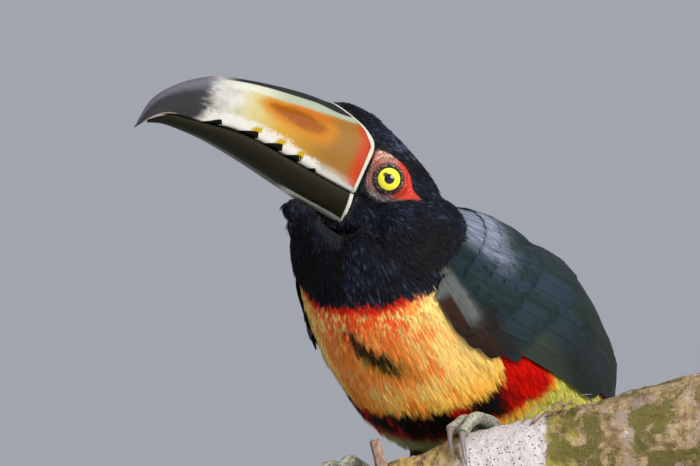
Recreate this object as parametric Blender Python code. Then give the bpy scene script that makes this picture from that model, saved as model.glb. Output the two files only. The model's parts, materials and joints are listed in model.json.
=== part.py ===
"""A still, life-size model of a collared aracari gripping a short length of branch on a display stand.

Metres, +Z up. The bird's trunk faces -Y and its left side is +X; the head is turned to its right and
raised. The origin is the middle of the stand's underside. Lengths below are in millimetres and are
scaled by MM when the meshes are made.
"""

import math

import bmesh
import bpy
from mathutils import Matrix, Vector

MM = 0.001
GAP = 0.3  # space left between pieces that touch

# ---- where things are -------------------------------------------------------------------------
BREAST = Vector((0, 0, 200))  # a point in the middle of the breast, which the trunk is laid out from
HEAD_YAW = math.radians(37)  # head turned to the bird's right
HEAD_PITCH = math.radians(26.7)  # bill raised
GAPE = BREAST + Vector((-14.7, -43.3, 56.6))  # middle of the head, level with the corners of the gape

# ---- trunk and neck: rings across the body from the vent up into the head ---------------------
# centre from BREAST (x, y, z), pitch and yaw of the ring's axis, half width, depth in front, behind
RINGS = [
    (0, 101, -86, 60, 0, 10, 7, 7),
    (0, 93, -76, 58, 0, 14, 10, 9),
    (0, 85, -65, 55, 0, 19, 15, 15),
    (0, 75, -52, 51, 0, 32, 26, 31),
    (0, 63, -36, 48, 0, 43, 37, 44),
    (0, 47, -21, 46, 0, 48, 46, 48),
    (0, 29, -6, 45, 0, 52, 57, 48),
    (-1, 9, 12, 46, 2, 51, 58, 44),
    (-4, -11, 29, 50, 8, 45, 53, 36),
    (-7, -23, 41, 64, 14, 38, 45, 30),
    (-8, -29, 52, 80, 25, 29.6, 37, 29),
    (-7, -28, 62, 92, 33, 15, 16, 18),
]
VENT, SHOULDERS, CROWN = 2, 8, 11  # ring numbers where trunk, neck and the buried end begin

# ---- head: sections across it, in the head's own frame (forward, top, bottom, half width) -----
HEAD = [
    (-40, 12, 12, 0),
    (-39, 17.5, 4, 5.5),
    (-36, 21, -3, 10.5),
    (-28, 25.8, -10.5, 15.5),
    (-19, 29.6, -16, 18),
    (-10, 33.0, -18, 18.6),
    (0, 35.8, -19, 17.8),
    (10, 37.0, -20, 15.2),
    (18, 35.8, -20.5, 11.6),
    (23.5, 33.4, -17.8, 7),
    (26.4, 31.6, -15.6, 0),
]
# ---- bill -------------------------------------------------------------------------------------
MARGIN = [(0.0, 0.0), (0.35, 10.5), (0.9, 21.0), (6.0, 25.9), (13.3, 28.8), (23.0, 31.2)]
LOWER_MARGIN = [(-0.3, -0.3), (-1.4, -6.0), (-2.9, -13.5)]
CULMEN = [
    (23, 31.2), (36, 27.9), (54, 24.3), (70.5, 19.0), (79.5, 14.3), (86, 8.8), (91, 2.0), (94.2, -6), (96, -18.5)
]
TOMIUM = [(0, 0), (20, 0.3), (42, 0.2), (58, -1.2), (68, -3.6), (76, -4.7), (84, -6.3), (89.5, -9.8), (95.4, -17.6)]
UPPER_HALF = [16.4, 15.6, 14.0, 12.0, 10.0, 8.0, 5.8, 3.6, 0.6]
GONYS = [(-2.9, -13.5), (22, -14.1), (46.6, -11.8), (64, -10.2), (76, -10.3), (84, -12), (90.5, -15.6)]
LOWER_TOP = [(0, 0), (25, 0.3), (50, 0), (65, -3.0), (76, -4.6), (84, -6.8), (90.5, -11.4)]
LOWER_HALF = [14.6, 13.4, 11.2, 9.2, 7.0, 4.8, 1.0]

# ---- eyes ------------------------------------------------------------------------------------
EYE_AT = (-11.6, 11.6, 12.4)  # forward, sideways, up in the head's frame
EYE_RADIUS = 7.0
EYE_LOOKS_AHEAD = 0.32  # how far the eye looks ahead for each unit it looks sideways

# ---- wings: (ring number, lower edge, upper edge, thickness), edges in degrees from the breast --
WING = [
    (7.95, 64, 92, 2.0),
    (7.7, 56, 112, 3.2),
    (7.2, 50, 132, 4.0),
    (6.6, 52, 146, 3.8),
    (6.0, 60, 153, 3.4),
    (5.4, 69, 158, 3.2),
    (4.7, 80, 163, 3.6),
    (4.0, 92, 167, 4.2),
    (3.3, 104, 170, 4.0),
    (2.6, 117, 172, 3.2),
    (2.0, 130, 173, 2.4),
    (1.4, 140, 172, 1.7),
    (0.9, 148, 168, 1.2),
]
WING_LIFT = 0.9  # between the trunk and the wing's inner face

# ---- tail: distance from the vent, half width, depth below, depth above ------------------------
TAIL_PITCH = math.radians(62)
TAIL = [
    (0, 17.0, 12.5, 11.5),
    (10, 15.5, 7.5, 8.5),
    (22, 15.5, 4.4, 5.4),
    (42, 17.5, 2.6, 3.2),
    (68, 19.5, 1.8, 2.2),
    (92, 20.5, 1.5, 1.8),
    (108, 19.5, 1.3, 1.5),
    (120, 15.0, 1.0, 1.2),
    (126, 8.5, 0.7, 0.9),
]

# ---- perch ------------------------------------------------------------------------------------
PERCH_AT = BREAST + Vector((13.9, -27.9, -69.3))
PERCH_YAW, PERCH_RISE = math.radians(27), math.radians(15)
# distance along it, radius, drop below the straight line
PERCH = [
    (-62, 12.5, -3.0),
    (-50, 13.4, -2.4),
    (-36, 14.2, -1.6),
    (-22, 15.4, -0.6),
    (-8, 17.0, 0.4),
    (6, 17.4, 0.6),
    (14, 18.4, 0.2),
    (22, 19.7, 0.0),
    (36, 19.4, 0.2),
    (50, 19.8, 0.6),
    (70, 20.4, 1.4),
    (90, 21.2, 2.2),
    (110, 21.8, 2.8),
    (130, 22.4, 3.4),
]
TWIG = (-12.5, 26, 2.3)  # distance along the perch, length and radius of a broken side twig

# ---- feet: along the perch and round it (degrees from its top, towards the front) --------------
FEET = {"left": 33.5, "right": -22.0}
HEELS = {"left": BREAST + Vector((29.5, 20, -51)), "right": BREAST + Vector((-12, 12, -60))}
LEG_TOPS = {"left": BREAST + Vector((26, 36, -34)), "right": BREAST + Vector((-14, 26, -38))}
LEG_RADII = (9, 10, 9.5, 8.5, 7.2, 5.4, 2.6)
SHANK_RADII = (3.6, 2.9, 2.6, 2.6, 2.8, 3.2)
# two front toes, then two rear ones: start (along, round), end, thickness at root and tip, knuckle rise
TOES = {
    "left": [
        ((-1, -50), (-13.2, 12), 3.2, 2.4, 2.2),
        ((4.5, -42), (-8, 32), 3.1, 2.3, 1.6),
        ((2.5, -58), (9, -104), 3.0, 2.2, 1.0),
        ((-2.5, -60), (-4, -92), 2.7, 2.0, 0.6),
    ],
    "right": [
        ((1.5, -50), (-8.5, 10), 3.2, 2.4, 2.2),
        ((-5.5, -42), (-18.5, 32), 3.1, 2.3, 1.6),
        ((-2.5, -58), (-9, -104), 3.0, 2.2, 1.0),
        ((2.5, -60), (4, -92), 2.7, 2.0, 0.6),
    ],
}
CLAW_REACH = (50, 46, 38, 32)  # degrees that each claw goes on round the perch

# ---- stand ------------------------------------------------------------------------------------
BASE_SIZE = (200, 150, 16)
BASE_CORNER, BASE_EASE = 12, 2.5
ROD_RADIUS, ROD_SUNK = 4.0, 8
ROD_ALONG = (-12, 78)  # where the rods meet the perch


# ---- helpers ----------------------------------------------------------------------------------
def clear_scene():
    for ob in list(bpy.data.objects):
        bpy.data.objects.remove(ob, do_unlink=True)


def collection(name):
    made = bpy.data.collections.new(name)
    bpy.context.scene.collection.children.link(made)
    return made


def material(name, colour, roughness, metallic=0.0):
    made = bpy.data.materials.new(name)
    made.use_nodes = True
    shader = made.node_tree.nodes["Principled BSDF"]
    shader.inputs["Base Color"].default_value = (*colour, 1)
    shader.inputs["Roughness"].default_value = roughness
    shader.inputs["Metallic"].default_value = metallic
    return made


def add_mesh(name, points, faces, into, mat=None):
    """A mesh object from points in millimetres, with its faces turned outwards."""
    mesh = bpy.data.meshes.new(name)
    mesh.from_pydata([tuple(Vector(p) * MM) for p in points], [], faces)
    bm = bmesh.new()
    bm.from_mesh(mesh)
    bmesh.ops.recalc_face_normals(bm, faces=bm.faces)
    return finish_mesh(name, bm, into, mat)


def loft(rings, start_point=None, end_point=None):
    """Points and faces of a closed body through rings of equal count. An end is a flat cap, or a
    point if one is given."""
    n = len(rings[0])
    points = [p for ring in rings for p in ring]
    faces = []
    for i in range(len(rings) - 1):
        for j in range(n):
            k = (j + 1) % n
            faces.append((i * n + j, i * n + k, (i + 1) * n + k, (i + 1) * n + j))
    for first, end in ((0, start_point), ((len(rings) - 1) * n, end_point)):
        if end is None:
            faces.append(tuple(range(first, first + n)))
        else:
            points.append(end)
            tip = len(points) - 1
            faces += [(first + j, first + (j + 1) % n, tip) for j in range(n)]
    return points, faces


def spline(rows, at):
    """A smooth curve through rows of numbers (Catmull-Rom), at a row number that may be a fraction."""
    last = len(rows) - 1
    i = min(max(int(math.floor(at)), 0), last - 1)
    u = at - i
    p0, p1, p2, p3 = (rows[min(max(k, 0), last)] for k in (i - 1, i, i + 1, i + 2))
    return [
        0.5 * (2 * b + (c - a) * u + (2 * a - 5 * b + 4 * c - d) * u**2 + (3 * b - a - 3 * c + d) * u**3)
        for a, b, c, d in zip(p0, p1, p2, p3)
    ]


def by_first(rows, value):
    """The rest of a row, interpolated at a value of its first number."""
    i = 0
    while i < len(rows) - 2 and rows[i + 1][0] < value:
        i += 1
    u = (value - rows[i][0]) / (rows[i + 1][0] - rows[i][0])
    return spline(rows, i + u)[1:]


def cut(ob, cutter):
    """Takes the cutter out of the object with a live Boolean."""
    step = ob.modifiers.new("minus " + cutter.name, "BOOLEAN")
    step.operation = "DIFFERENCE"
    step.solver = "EXACT"
    step.object = cutter


def join(ob, other):
    step = ob.modifiers.new("plus " + other.name, "BOOLEAN")
    step.operation = "UNION"
    step.solver = "EXACT"
    step.object = other


def hide(ob):
    """Marks an object as a tool that only cuts or joins others."""
    ob.hide_render = True
    ob.display_type = "WIRE"
    return ob


# ---- the body's surface -----------------------------------------------------------------------
def body_frame(at):
    x, y, z, pitch, yaw, half, front, back = spline(RINGS, at)
    pitch, yaw = math.radians(pitch), math.radians(yaw)
    ahead = Vector((-math.sin(yaw), -math.cos(yaw), 0))
    left = Vector((math.cos(yaw), -math.sin(yaw), 0))
    belly = ahead * math.sin(pitch) - Vector((0, 0, 1)) * math.cos(pitch)
    return BREAST + Vector((x, y, z)), left, belly, half, front, back


def body_point(at, degrees, lift=0.0):
    """A point on the body: ring number, angle from the middle of the breast (left is positive)."""
    centre, left, belly, half, front, back = body_frame(at)
    a = math.radians(degrees)
    depth = front if math.cos(a) > 0 else back
    out = left * (math.sin(a) / half) + belly * (math.cos(a) / depth)
    point = centre + left * (half * math.sin(a)) + belly * (depth * math.cos(a))
    return point + out.normalized() * lift


def body_loft(first, last, steps, count, lift=0.0, ends=0.0):
    """Rings of the body from one ring number to another; `ends` moves both end rings outwards."""
    rings = []
    for i in range(steps + 1):
        at = first + (last - first) * i / steps
        rings.append([body_point(at, 360 * j / count, lift) for j in range(count)])
    for ring, other, at in ((rings[0], rings[1], first), (rings[-1], rings[-2], last)):
        _, left, belly, *_ = body_frame(at)
        along = left.cross(belly)
        middle = sum(ring, Vector()) / count
        if (middle - sum(other, Vector()) / count).dot(along) < 0:
            along = -along
        ring[:] = [p + along * ends for p in ring]
    return loft(rings)


def head_to_world(forward, side, up):
    """A point in the head's frame as a point in the model."""
    cy, sy = math.cos(HEAD_YAW), math.sin(HEAD_YAW)
    cp, sp = math.cos(HEAD_PITCH), math.sin(HEAD_PITCH)
    ahead = Vector((-sy * cp, -cy * cp, sp))
    left = Vector((cy, -sy, 0))
    top = Vector((sy * sp, cy * sp, cp))
    return GAPE + ahead * forward + left * side + top * up


def egg(n, power, half, top, bottom):
    """A closed outline (side, up) between a top and a bottom, squarer as the power rises."""
    ring = []
    for j in range(n):
        a = 2 * math.pi * j / n
        c, s = math.cos(a), math.sin(a)
        side = half * math.copysign(abs(s) ** (2 / power), s)
        up = (top + bottom) / 2 + (top - bottom) / 2 * math.copysign(abs(c) ** (2 / power), c)
        ring.append((side, up))
    return ring


# ---- pieces ------------------------------------------------------------------------------------
def head_loft(grow=0.0):
    inner = HEAD[1:-1]
    steps = 14
    rings = []
    for i in range(steps + 1):
        x, top, bottom, half = spline(inner, i * (len(inner) - 1) / steps)
        outline = egg(24, 2.15, half + grow, top + grow, bottom - grow)
        rings.append([head_to_world(x, side, up) for side, up in outline])
    back, front = HEAD[0], HEAD[-1]
    start = head_to_world(back[0] - grow, 0, back[1])
    end = head_to_world(front[0] + grow, 0, (front[1] + front[2]) / 2)
    return loft(rings, start, end)


def margin_cutter(into, back_off=GAP):
    """Everything in front of the line where feathers and skin meet the bill."""
    upper = [spline(MARGIN, 5 - k / 3) for k in range(16)]
    lower = [spline(LOWER_MARGIN, k / 2) for k in range(5)]
    line = [(27.5, 70), (27.0, 31.5)] + upper + lower + [(-2.9, -14.9), (29.0, -14.9), (60, -60), (200, 0)]
    rings = []
    for side in (-40, 40):
        rings.append([head_to_world(x - back_off, side, z) for x, z in line])
    return hide(add_mesh("bill margin cutter", *loft(rings), into))


def half_bill(name, margin, ridge, edge, halves, power, inset, into, mat):
    """One half of the bill: rows from the margin to the tip, each an arch from the left edge over
    the ridge to the right edge, closed by a flat face between the edges."""
    n, steps = 14, 16
    rings = []
    for i in range(steps + 1):
        s = i / steps
        at = s * (len(ridge) - 1)
        rx, rz = spline(ridge, at)
        ex, ez = spline(edge, at)
        half = spline([(h,) for h in halves], at)[0]
        ring = []
        for j in range(n + 1):
            q = math.sin(math.pi * j / n) ** 0.9  # 0 at the edges, 1 on the ridge
            x, z = ex + (rx - ex) * q, ez + (rz - ez) * q
            mx, mz = spline(margin, q * (len(margin) - 1))
            bx, bz = edge[0][0] + (ridge[0][0] - edge[0][0]) * q, edge[0][1] + (ridge[0][1] - edge[0][1]) * q
            fade = (1 - s) ** 4
            x, z = x + (mx - bx) * fade, z + (mz - bz) * fade
            side = half * (1 - q**power) ** (1 / power) * (1 - 0.06 * (1 - q) ** 3)
            side = side if j <= n / 2 else -side
            ring.append(head_to_world(x, side, z + inset * (1 - q)))
        rings.append(ring)
    points = [p for ring in rings for p in ring]
    m = n + 1
    faces = []
    for i in range(steps):
        for j in range(n):
            faces.append((i * m + j, i * m + j + 1, (i + 1) * m + j + 1, (i + 1) * m + j))
        faces.append((i * m, (i + 1) * m, (i + 1) * m + n, i * m + n))
    for first in (0, steps * m):
        for j in range(n // 2 - 1):
            faces.append((first + j, first + j + 1, first + n - j - 1, first + n - j))
        faces.append((first + n // 2 - 1, first + n // 2, first + n // 2 + 1))
    return add_mesh(name, points, faces, into, mat)


def make_eye(side, into, cutters, mat, head):
    """The eyeball, whose pole looks out and a little ahead, and the socket it sits in."""
    forward, out, up = EYE_AT
    sign = 1 if side == "left" else -1
    centre = head_to_world(forward, sign * out, up)
    axis = head_to_world(EYE_LOOKS_AHEAD, sign, 0) - GAPE
    turn = axis.to_track_quat("Z", "Y").to_matrix()
    ball("eye_" + side, centre, turn, EYE_RADIUS, into, mat)
    cut(head, hide(ball("socket " + side, centre, turn, EYE_RADIUS + GAP, cutters)))


def make_wing(side, into, mat):
    """A folded wing: a thin shell that follows the trunk from the shoulder to beyond the rump."""
    sign = 1 if side == "left" else -1
    across, rows = 9, 16
    rings = []
    for i in range(rows + 1):
        at, low, high, thick = spline(WING, i * (len(WING) - 1) / rows)
        outer, inner = [], []
        for j in range(across + 1):
            u = j / across
            bulge = math.sin(math.pi * u) ** 0.55
            angle = sign * (low + (high - low) * u)
            inner.append(body_point(at, angle, WING_LIFT))
            outer.append(body_point(at, angle, WING_LIFT + 0.35 + thick * bulge))
        rings.append(outer + inner[::-1])
    first, last = WING[0], WING[-1]
    start = body_point(first[0] + 0.12, sign * (first[1] + first[2]) / 2, WING_LIFT + 1.2)
    end = body_point(last[0] - 0.3, sign * (last[1] + last[2]) / 2, WING_LIFT + 0.6)
    return add_mesh("wing_" + side, *loft(rings, start, end), into, mat)


def make_tail(into, mat):
    centre, left, belly, half, front, back = body_frame(VENT)
    pitch = math.radians(spline(RINGS, VENT)[3])
    rings = []
    for i in range(17):
        along, wide, below, above = spline(TAIL, i * (len(TAIL) - 1) / 16)
        turn = pitch + (TAIL_PITCH - pitch) * min(1.0, along / 30)
        away = Vector((0, math.cos(turn), -math.sin(turn)))
        under = Vector((0, -math.sin(turn), -math.cos(turn)))
        if i == 0:
            spine = centre + away * GAP
        else:
            spine = spine + away * (along - before)
        before = along
        ring = []
        for j in range(18):
            a = 2 * math.pi * j / 18
            c, s = math.cos(a), math.sin(a)
            power = 2 + 1.2 * min(1.0, along / 40)
            depth = below if c > 0 else above
            wing = wide * math.copysign(abs(s) ** (2 / power), s)
            ring.append(spine + left * wing + under * (depth * math.copysign(abs(c) ** (2 / power), c)))
        rings.append(ring)
    return add_mesh("tail", *loft(rings, None, spine + away * 1.6), into, mat)


def perch_frame(along):
    """Centre of the perch at a distance along it, with its direction, front and top."""
    radius, drop = by_first(PERCH, along)
    run = Vector((math.cos(PERCH_YAW), math.sin(PERCH_YAW), 0))
    ahead = run * math.cos(PERCH_RISE) + Vector((0, 0, math.sin(PERCH_RISE)))
    front = Vector((math.sin(PERCH_YAW), -math.cos(PERCH_YAW), 0))
    top = front.cross(ahead)
    top = top if top.z > 0 else -top
    return PERCH_AT + ahead * along - Vector((0, 0, drop)), ahead, front, top, radius


def on_perch(along, degrees, lift):
    centre, _, front, top, radius = perch_frame(along)
    a = math.radians(degrees)
    return centre + (front * math.sin(a) + top * math.cos(a)) * (radius + lift)


def perch_loft(grow=0.0, count=18):
    rings = []
    rows = 18
    first, last = PERCH[0][0] - grow, PERCH[-1][0] + grow
    for i in range(rows + 1):
        along = first + (last - first) * i / rows
        rings.append([on_perch(along, 360 * j / count, grow) for j in range(count)])
    return loft(rings)


def tube(name, path, radii, into, mat=None, sides=8):
    """A tapering round bar: a curve with a radius at each point, made a mesh."""
    curve = bpy.data.curves.new(name + " line", "CURVE")
    curve.dimensions = "3D"
    curve.bevel_depth = MM
    curve.bevel_resolution = (sides - 4) // 2
    curve.use_fill_caps = True
    spline_points = curve.splines.new("POLY").points
    spline_points.add(len(path) - 1)
    for spot, point, radius in zip(spline_points, path, radii):
        spot.co = (*(point * MM), 1)
        spot.radius = radius
    line = bpy.data.objects.new(name + " line", curve)
    into.objects.link(line)
    bpy.context.view_layer.update()
    graph = bpy.context.evaluated_depsgraph_get()
    mesh = bpy.data.meshes.new_from_object(line.evaluated_get(graph))
    bpy.data.objects.remove(line, do_unlink=True)
    bm = bmesh.new()
    bm.from_mesh(mesh)
    bmesh.ops.remove_doubles(bm, verts=bm.verts, dist=1e-6)
    bmesh.ops.recalc_face_normals(bm, faces=bm.faces)
    return finish_mesh(name, bm, into, mat)


def finish_mesh(name, bm, into, mat=None):
    mesh = bpy.data.meshes.new(name)
    bm.to_mesh(mesh)
    bm.free()
    ob = bpy.data.objects.new(name, mesh)
    into.objects.link(ob)
    if mat:
        mesh.materials.append(mat)
    return ob


def rod(name, at, low, high, radius, into, mat=None):
    """An upright cylinder between two heights."""
    bm = bmesh.new()
    middle = Matrix.Translation(Vector((at.x, at.y, (low + high) / 2)) * MM)
    width, length = radius * MM, (high - low) * MM
    bmesh.ops.create_cone(
        bm, cap_ends=True, segments=20, radius1=width, radius2=width, depth=length, matrix=middle
    )
    return finish_mesh(name, bm, into, mat)


def ball(name, centre, turn, radius, into, mat=None):
    bm = bmesh.new()
    place = Matrix.Translation(centre * MM) @ turn.to_4x4()
    bmesh.ops.create_uvsphere(bm, u_segments=14, v_segments=9, radius=radius * MM, matrix=place)
    return finish_mesh(name, bm, into, mat)


def toe_path(foot, toe):
    (a0, d0), (a1, d1), thick0, thick1, rise = toe
    path, radii = [], []
    steps = 6
    for i in range(steps + 1):
        u = i / steps
        thick = thick0 + (thick1 - thick0) * u
        knuckle = 0.5 - 0.5 * math.cos(2 * math.pi * 2.5 * u)
        arch = rise * math.sin(math.pi * u) ** 2
        lift = thick * (1 + 0.06 * knuckle) + GAP + 0.35 + arch
        path.append(on_perch(FEET[foot] + a0 + (a1 - a0) * u, d0 + (d1 - d0) * u, lift))
        radii.append(thick * (0.94 + 0.12 * knuckle))
    return path, radii


def claw_path(foot, toe, reach):
    """The claw goes on from the toe round the perch, rises a little and comes down to its point."""
    (a0, d0), (a1, d1), _, thick, _ = toe
    sense = 1 if d1 > d0 else -1
    lift = thick + GAP + 0.35
    path, radii = [], []
    steps = 6
    for i in range(steps + 1):
        u = i / steps
        arch = 1.6 * math.sin(math.pi * min(1.0, u * 1.15)) * (1 - u)
        path.append(on_perch(FEET[foot] + a1 + (a1 - a0) * 0.1 * u, d1 + sense * reach * u, lift * (1 - u) + u + arch))
        radii.append(1.6 * (1 - u) ** 0.8 + 0.25)
    return path, radii


def make_foot(side, into, cutters, mats, trunk_tool, leg_tool):
    """Toes, pad and shank as one piece, and the four claws that go on from the toes."""
    foot = None
    for number, (toe, reach) in enumerate(zip(TOES[side], CLAW_REACH), 1):
        path, radii = toe_path(side, toe)
        if foot is None:
            foot = tube("foot_" + side, path, radii, into, mats["foot"])
        else:
            join(foot, hide(tube(f"toe {side} {number}", path, radii, cutters)))
        claw = tube(f"claw_{side}_{number}", *claw_path(side, toe, reach), into, mats["claw"])
        ahead = (path[-1] - path[-2]).normalized()
        end = path[-3:] + [path[-1] + ahead * GAP]
        grown = [w + GAP for w in radii[-3:]] + [radii[-1] + GAP]
        cut(claw, hide(tube(f"toe end {side} {number}", end, grown, cutters, sides=12)))
    root, heel = on_perch(FEET[side] + 1, -54, 5.2), HEELS[side]
    shank = [root.lerp(heel, i / 5) for i in range(6)]
    join(foot, hide(tube("shank " + side, shank, SHANK_RADII, cutters)))
    pad = [on_perch(FEET[side] - 5.5, -50, 4.4), on_perch(FEET[side] + 6.5, -54, 4.4)]
    join(foot, hide(tube("pad " + side, pad, [4.0, 4.0], cutters, sides=12)))
    cut(foot, trunk_tool)
    cut(foot, leg_tool)


def leg(name, side, into, mat=None, grow=0.0):
    """The feathered leg, from inside the trunk down to the heel."""
    places = (0, 0.25, 0.5, 0.7, 0.85, 0.97, 1.08)
    path = [LEG_TOPS[side].lerp(HEELS[side], u) for u in places]
    return tube(name, path, [w + grow for w in LEG_RADII], into, mat, sides=12)


def make_perch(into, cutters, mat):
    perch = add_mesh("perch", *perch_loft(), into, mat)
    along, length, radius = TWIG
    centre, _, front, top, r = perch_frame(along)
    direction = (top * 0.98 + front * 0.12).normalized()
    path = [centre + direction * d for d in (r - 6, r - 1, r + 4, length)]
    join(perch, hide(tube("twig", path, [3.4, 2.9, 2.5, radius], cutters, sides=12)))


def make_base(into, cutters, mat):
    """A flat wooden block with rounded corners and a softened top edge."""
    width, depth, height = BASE_SIZE
    bm = bmesh.new()
    bmesh.ops.create_cube(bm, size=1)
    bmesh.ops.transform(bm, matrix=Matrix.Diagonal(Vector(BASE_SIZE) * MM).to_4x4(), verts=bm.verts)
    bmesh.ops.translate(bm, vec=(0, 0, height / 2 * MM), verts=bm.verts)
    upright = [e for e in bm.edges if abs(e.verts[0].co.z - e.verts[1].co.z) > height / 2 * MM]
    bmesh.ops.bevel(bm, geom=upright, offset=BASE_CORNER * MM, segments=4, affect="EDGES", profile=0.5)
    rim = [e for e in bm.edges if min(v.co.z for v in e.verts) > (height - 0.01) * MM]
    bmesh.ops.bevel(bm, geom=rim, offset=BASE_EASE * MM, segments=2, affect="EDGES", profile=0.5)
    base = finish_mesh("stand_base", bm, into, mat)
    for number, along in enumerate(ROD_ALONG, 1):
        at = perch_frame(along)[0]
        hole = rod(f"rod hole {number}", at, height - ROD_SUNK, height + 20, ROD_RADIUS + GAP, cutters)
        cut(base, hide(hole))


def make_rod(number, into, mat, perch_tool):
    """A rod from its hole in the base up to the perch, its top hollowed to the perch's underside."""
    at = perch_frame(ROD_ALONG[number - 1])[0]
    made = rod(f"stand_rod_{number}", at, BASE_SIZE[2] - ROD_SUNK + GAP, at.z, ROD_RADIUS, into, mat)
    cut(made, perch_tool)


def build():
    clear_scene()
    parts = collection("collared aracari on a perch")
    cutters = collection("cutters")
    mats = {
        "hood": material("black plumage", (0.012, 0.013, 0.018), 0.65),
        "breast": material("yellow and red plumage", (0.75, 0.42, 0.06), 0.7),
        "mantle": material("slate green plumage", (0.05, 0.075, 0.08), 0.6),
        "tail": material("dark green plumage", (0.03, 0.05, 0.045), 0.6),
        "leg": material("chestnut plumage", (0.2, 0.06, 0.03), 0.7),
        "bill_upper": material("ivory horn", (0.75, 0.62, 0.4), 0.35),
        "bill_lower": material("black horn", (0.02, 0.02, 0.02), 0.35),
        "eye": material("yellow eye", (0.8, 0.65, 0.05), 0.1),
        "foot": material("grey green scales", (0.3, 0.36, 0.3), 0.6),
        "claw": material("grey horn", (0.35, 0.33, 0.32), 0.4),
        "perch": material("bark", (0.4, 0.35, 0.3), 0.85),
        "base": material("dark wood", (0.14, 0.08, 0.05), 0.5),
        "rod": material("steel rod", (0.5, 0.5, 0.52), 0.35, 1.0),
    }
    count = 28
    trunk_tool = hide(add_mesh("trunk grown", *body_loft(VENT, SHOULDERS, 14, count, GAP, GAP), cutters))
    head_tool = hide(add_mesh("head grown", *head_loft(GAP), cutters))
    perch_tool = hide(add_mesh("perch grown", *perch_loft(GAP), cutters))
    add_mesh("trunk", *body_loft(VENT, SHOULDERS, 14, count, 0.0, -GAP / 2), parts, mats["breast"])
    neck = add_mesh("neck", *body_loft(SHOULDERS, CROWN, 7, count, 0.0, -GAP / 2), parts, mats["hood"])
    cut(neck, head_tool)
    head = add_mesh("head", *head_loft(), parts, mats["hood"])
    cut(head, margin_cutter(cutters))
    half_bill("bill_upper", MARGIN, CULMEN, TOMIUM, UPPER_HALF, 2.3, GAP / 2, parts, mats["bill_upper"])
    half_bill("bill_lower", LOWER_MARGIN, GONYS, LOWER_TOP, LOWER_HALF, 2.6, -GAP / 2, parts, mats["bill_lower"])
    for side in ("left", "right"):
        make_eye(side, parts, cutters, mats["eye"], head)
        make_wing(side, parts, mats["mantle"])
        cut(leg("leg_" + side, side, parts, mats["leg"]), trunk_tool)
        leg_tool = hide(leg(f"leg {side} grown", side, cutters, grow=GAP))
        make_foot(side, parts, cutters, mats, trunk_tool, leg_tool)
    make_tail(parts, mats["tail"])
    make_perch(parts, cutters, mats["perch"])
    make_base(parts, cutters, mats["base"])
    for number in (1, 2):
        make_rod(number, parts, mats["rod"], perch_tool)


build()
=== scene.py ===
import json
import math

import bmesh
import bpy
import numpy as np
from mathutils import Matrix, Vector
from mathutils import noise as relief
from mathutils.bvhtree import BVHTree

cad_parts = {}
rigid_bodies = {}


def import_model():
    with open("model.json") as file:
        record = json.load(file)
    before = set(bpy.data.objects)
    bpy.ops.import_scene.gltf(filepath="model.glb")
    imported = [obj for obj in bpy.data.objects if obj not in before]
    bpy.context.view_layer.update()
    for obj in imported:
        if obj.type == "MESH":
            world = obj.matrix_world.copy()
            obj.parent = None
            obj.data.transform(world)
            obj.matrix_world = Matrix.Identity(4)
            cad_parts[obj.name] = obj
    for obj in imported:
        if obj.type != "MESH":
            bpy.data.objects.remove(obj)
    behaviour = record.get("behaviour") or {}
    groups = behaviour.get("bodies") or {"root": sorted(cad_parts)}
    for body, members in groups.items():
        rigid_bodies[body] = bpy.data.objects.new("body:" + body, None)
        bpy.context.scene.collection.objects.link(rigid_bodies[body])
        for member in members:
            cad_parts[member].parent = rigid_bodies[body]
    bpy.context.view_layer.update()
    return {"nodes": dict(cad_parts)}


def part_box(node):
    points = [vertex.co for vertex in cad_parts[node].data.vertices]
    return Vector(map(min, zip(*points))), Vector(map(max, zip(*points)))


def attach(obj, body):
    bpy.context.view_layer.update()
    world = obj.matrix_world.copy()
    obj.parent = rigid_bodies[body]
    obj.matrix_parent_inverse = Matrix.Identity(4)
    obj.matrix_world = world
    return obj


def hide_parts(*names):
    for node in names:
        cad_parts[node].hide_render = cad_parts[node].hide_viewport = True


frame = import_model()
NODES = frame["nodes"]
MM = 0.001

# %% [markdown]
# ## Two frames to measure in
# Markings and feathers are easier to place in the bird's own directions than in the room's. The
# trunk has an axis that rises forward at 45 degrees; a place on it is a distance along the axis and
# an angle from the middle of the belly, positive to the bird's left. The head is turned and raised,
# so it has forward, left and up directions of its own, measured from the middle of the gape.
# %% Body and head directions
TRUNK = Vector((0, 0.029, 0.194))
AXIS = Vector((0, -1, 1)).normalized()
BELLY = Vector((0, -1, -1)).normalized()
LEFT = Vector((1, 0, 0))
GAPE = Vector((-0.0147, -0.0433, 0.2566))
YAW, PITCH = math.radians(37), math.radians(26.7)
AHEAD = Vector((-math.sin(YAW) * math.cos(PITCH), -math.cos(YAW) * math.cos(PITCH), math.sin(PITCH)))
HEAD_LEFT = Vector((math.cos(YAW), -math.sin(YAW), 0))
HEAD_UP = AHEAD.cross(-HEAD_LEFT).normalized()
if HEAD_UP.z < 0:
    HEAD_UP.negate()


def on_head(forward, left, up):
    """A point in the head's frame, in millimetres, as a point in the room."""
    return GAPE + (AHEAD * forward + HEAD_LEFT * left + HEAD_UP * up) * MM


def measure(points, origin, *axes):
    """Coordinates of many points along some directions, in millimetres."""
    away = (np.asarray(points) - np.array(origin)) / MM
    return [away @ np.array(axis) for axis in axes]


def smooth(low, high, value):
    t = np.clip((np.asarray(value, float) - low) / (high - low), 0, 1)
    return t * t * (3 - 2 * t)


def in_head(points):
    """Forward, left and up of many points from the gape, in millimetres."""
    return measure(points, GAPE, AHEAD, HEAD_LEFT, HEAD_UP)


bill_reach = in_head([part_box("bill_upper")[0]])[0]
print("bill tip ahead of the gape by", [round(v, 1) for v in bill_reach])

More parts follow.
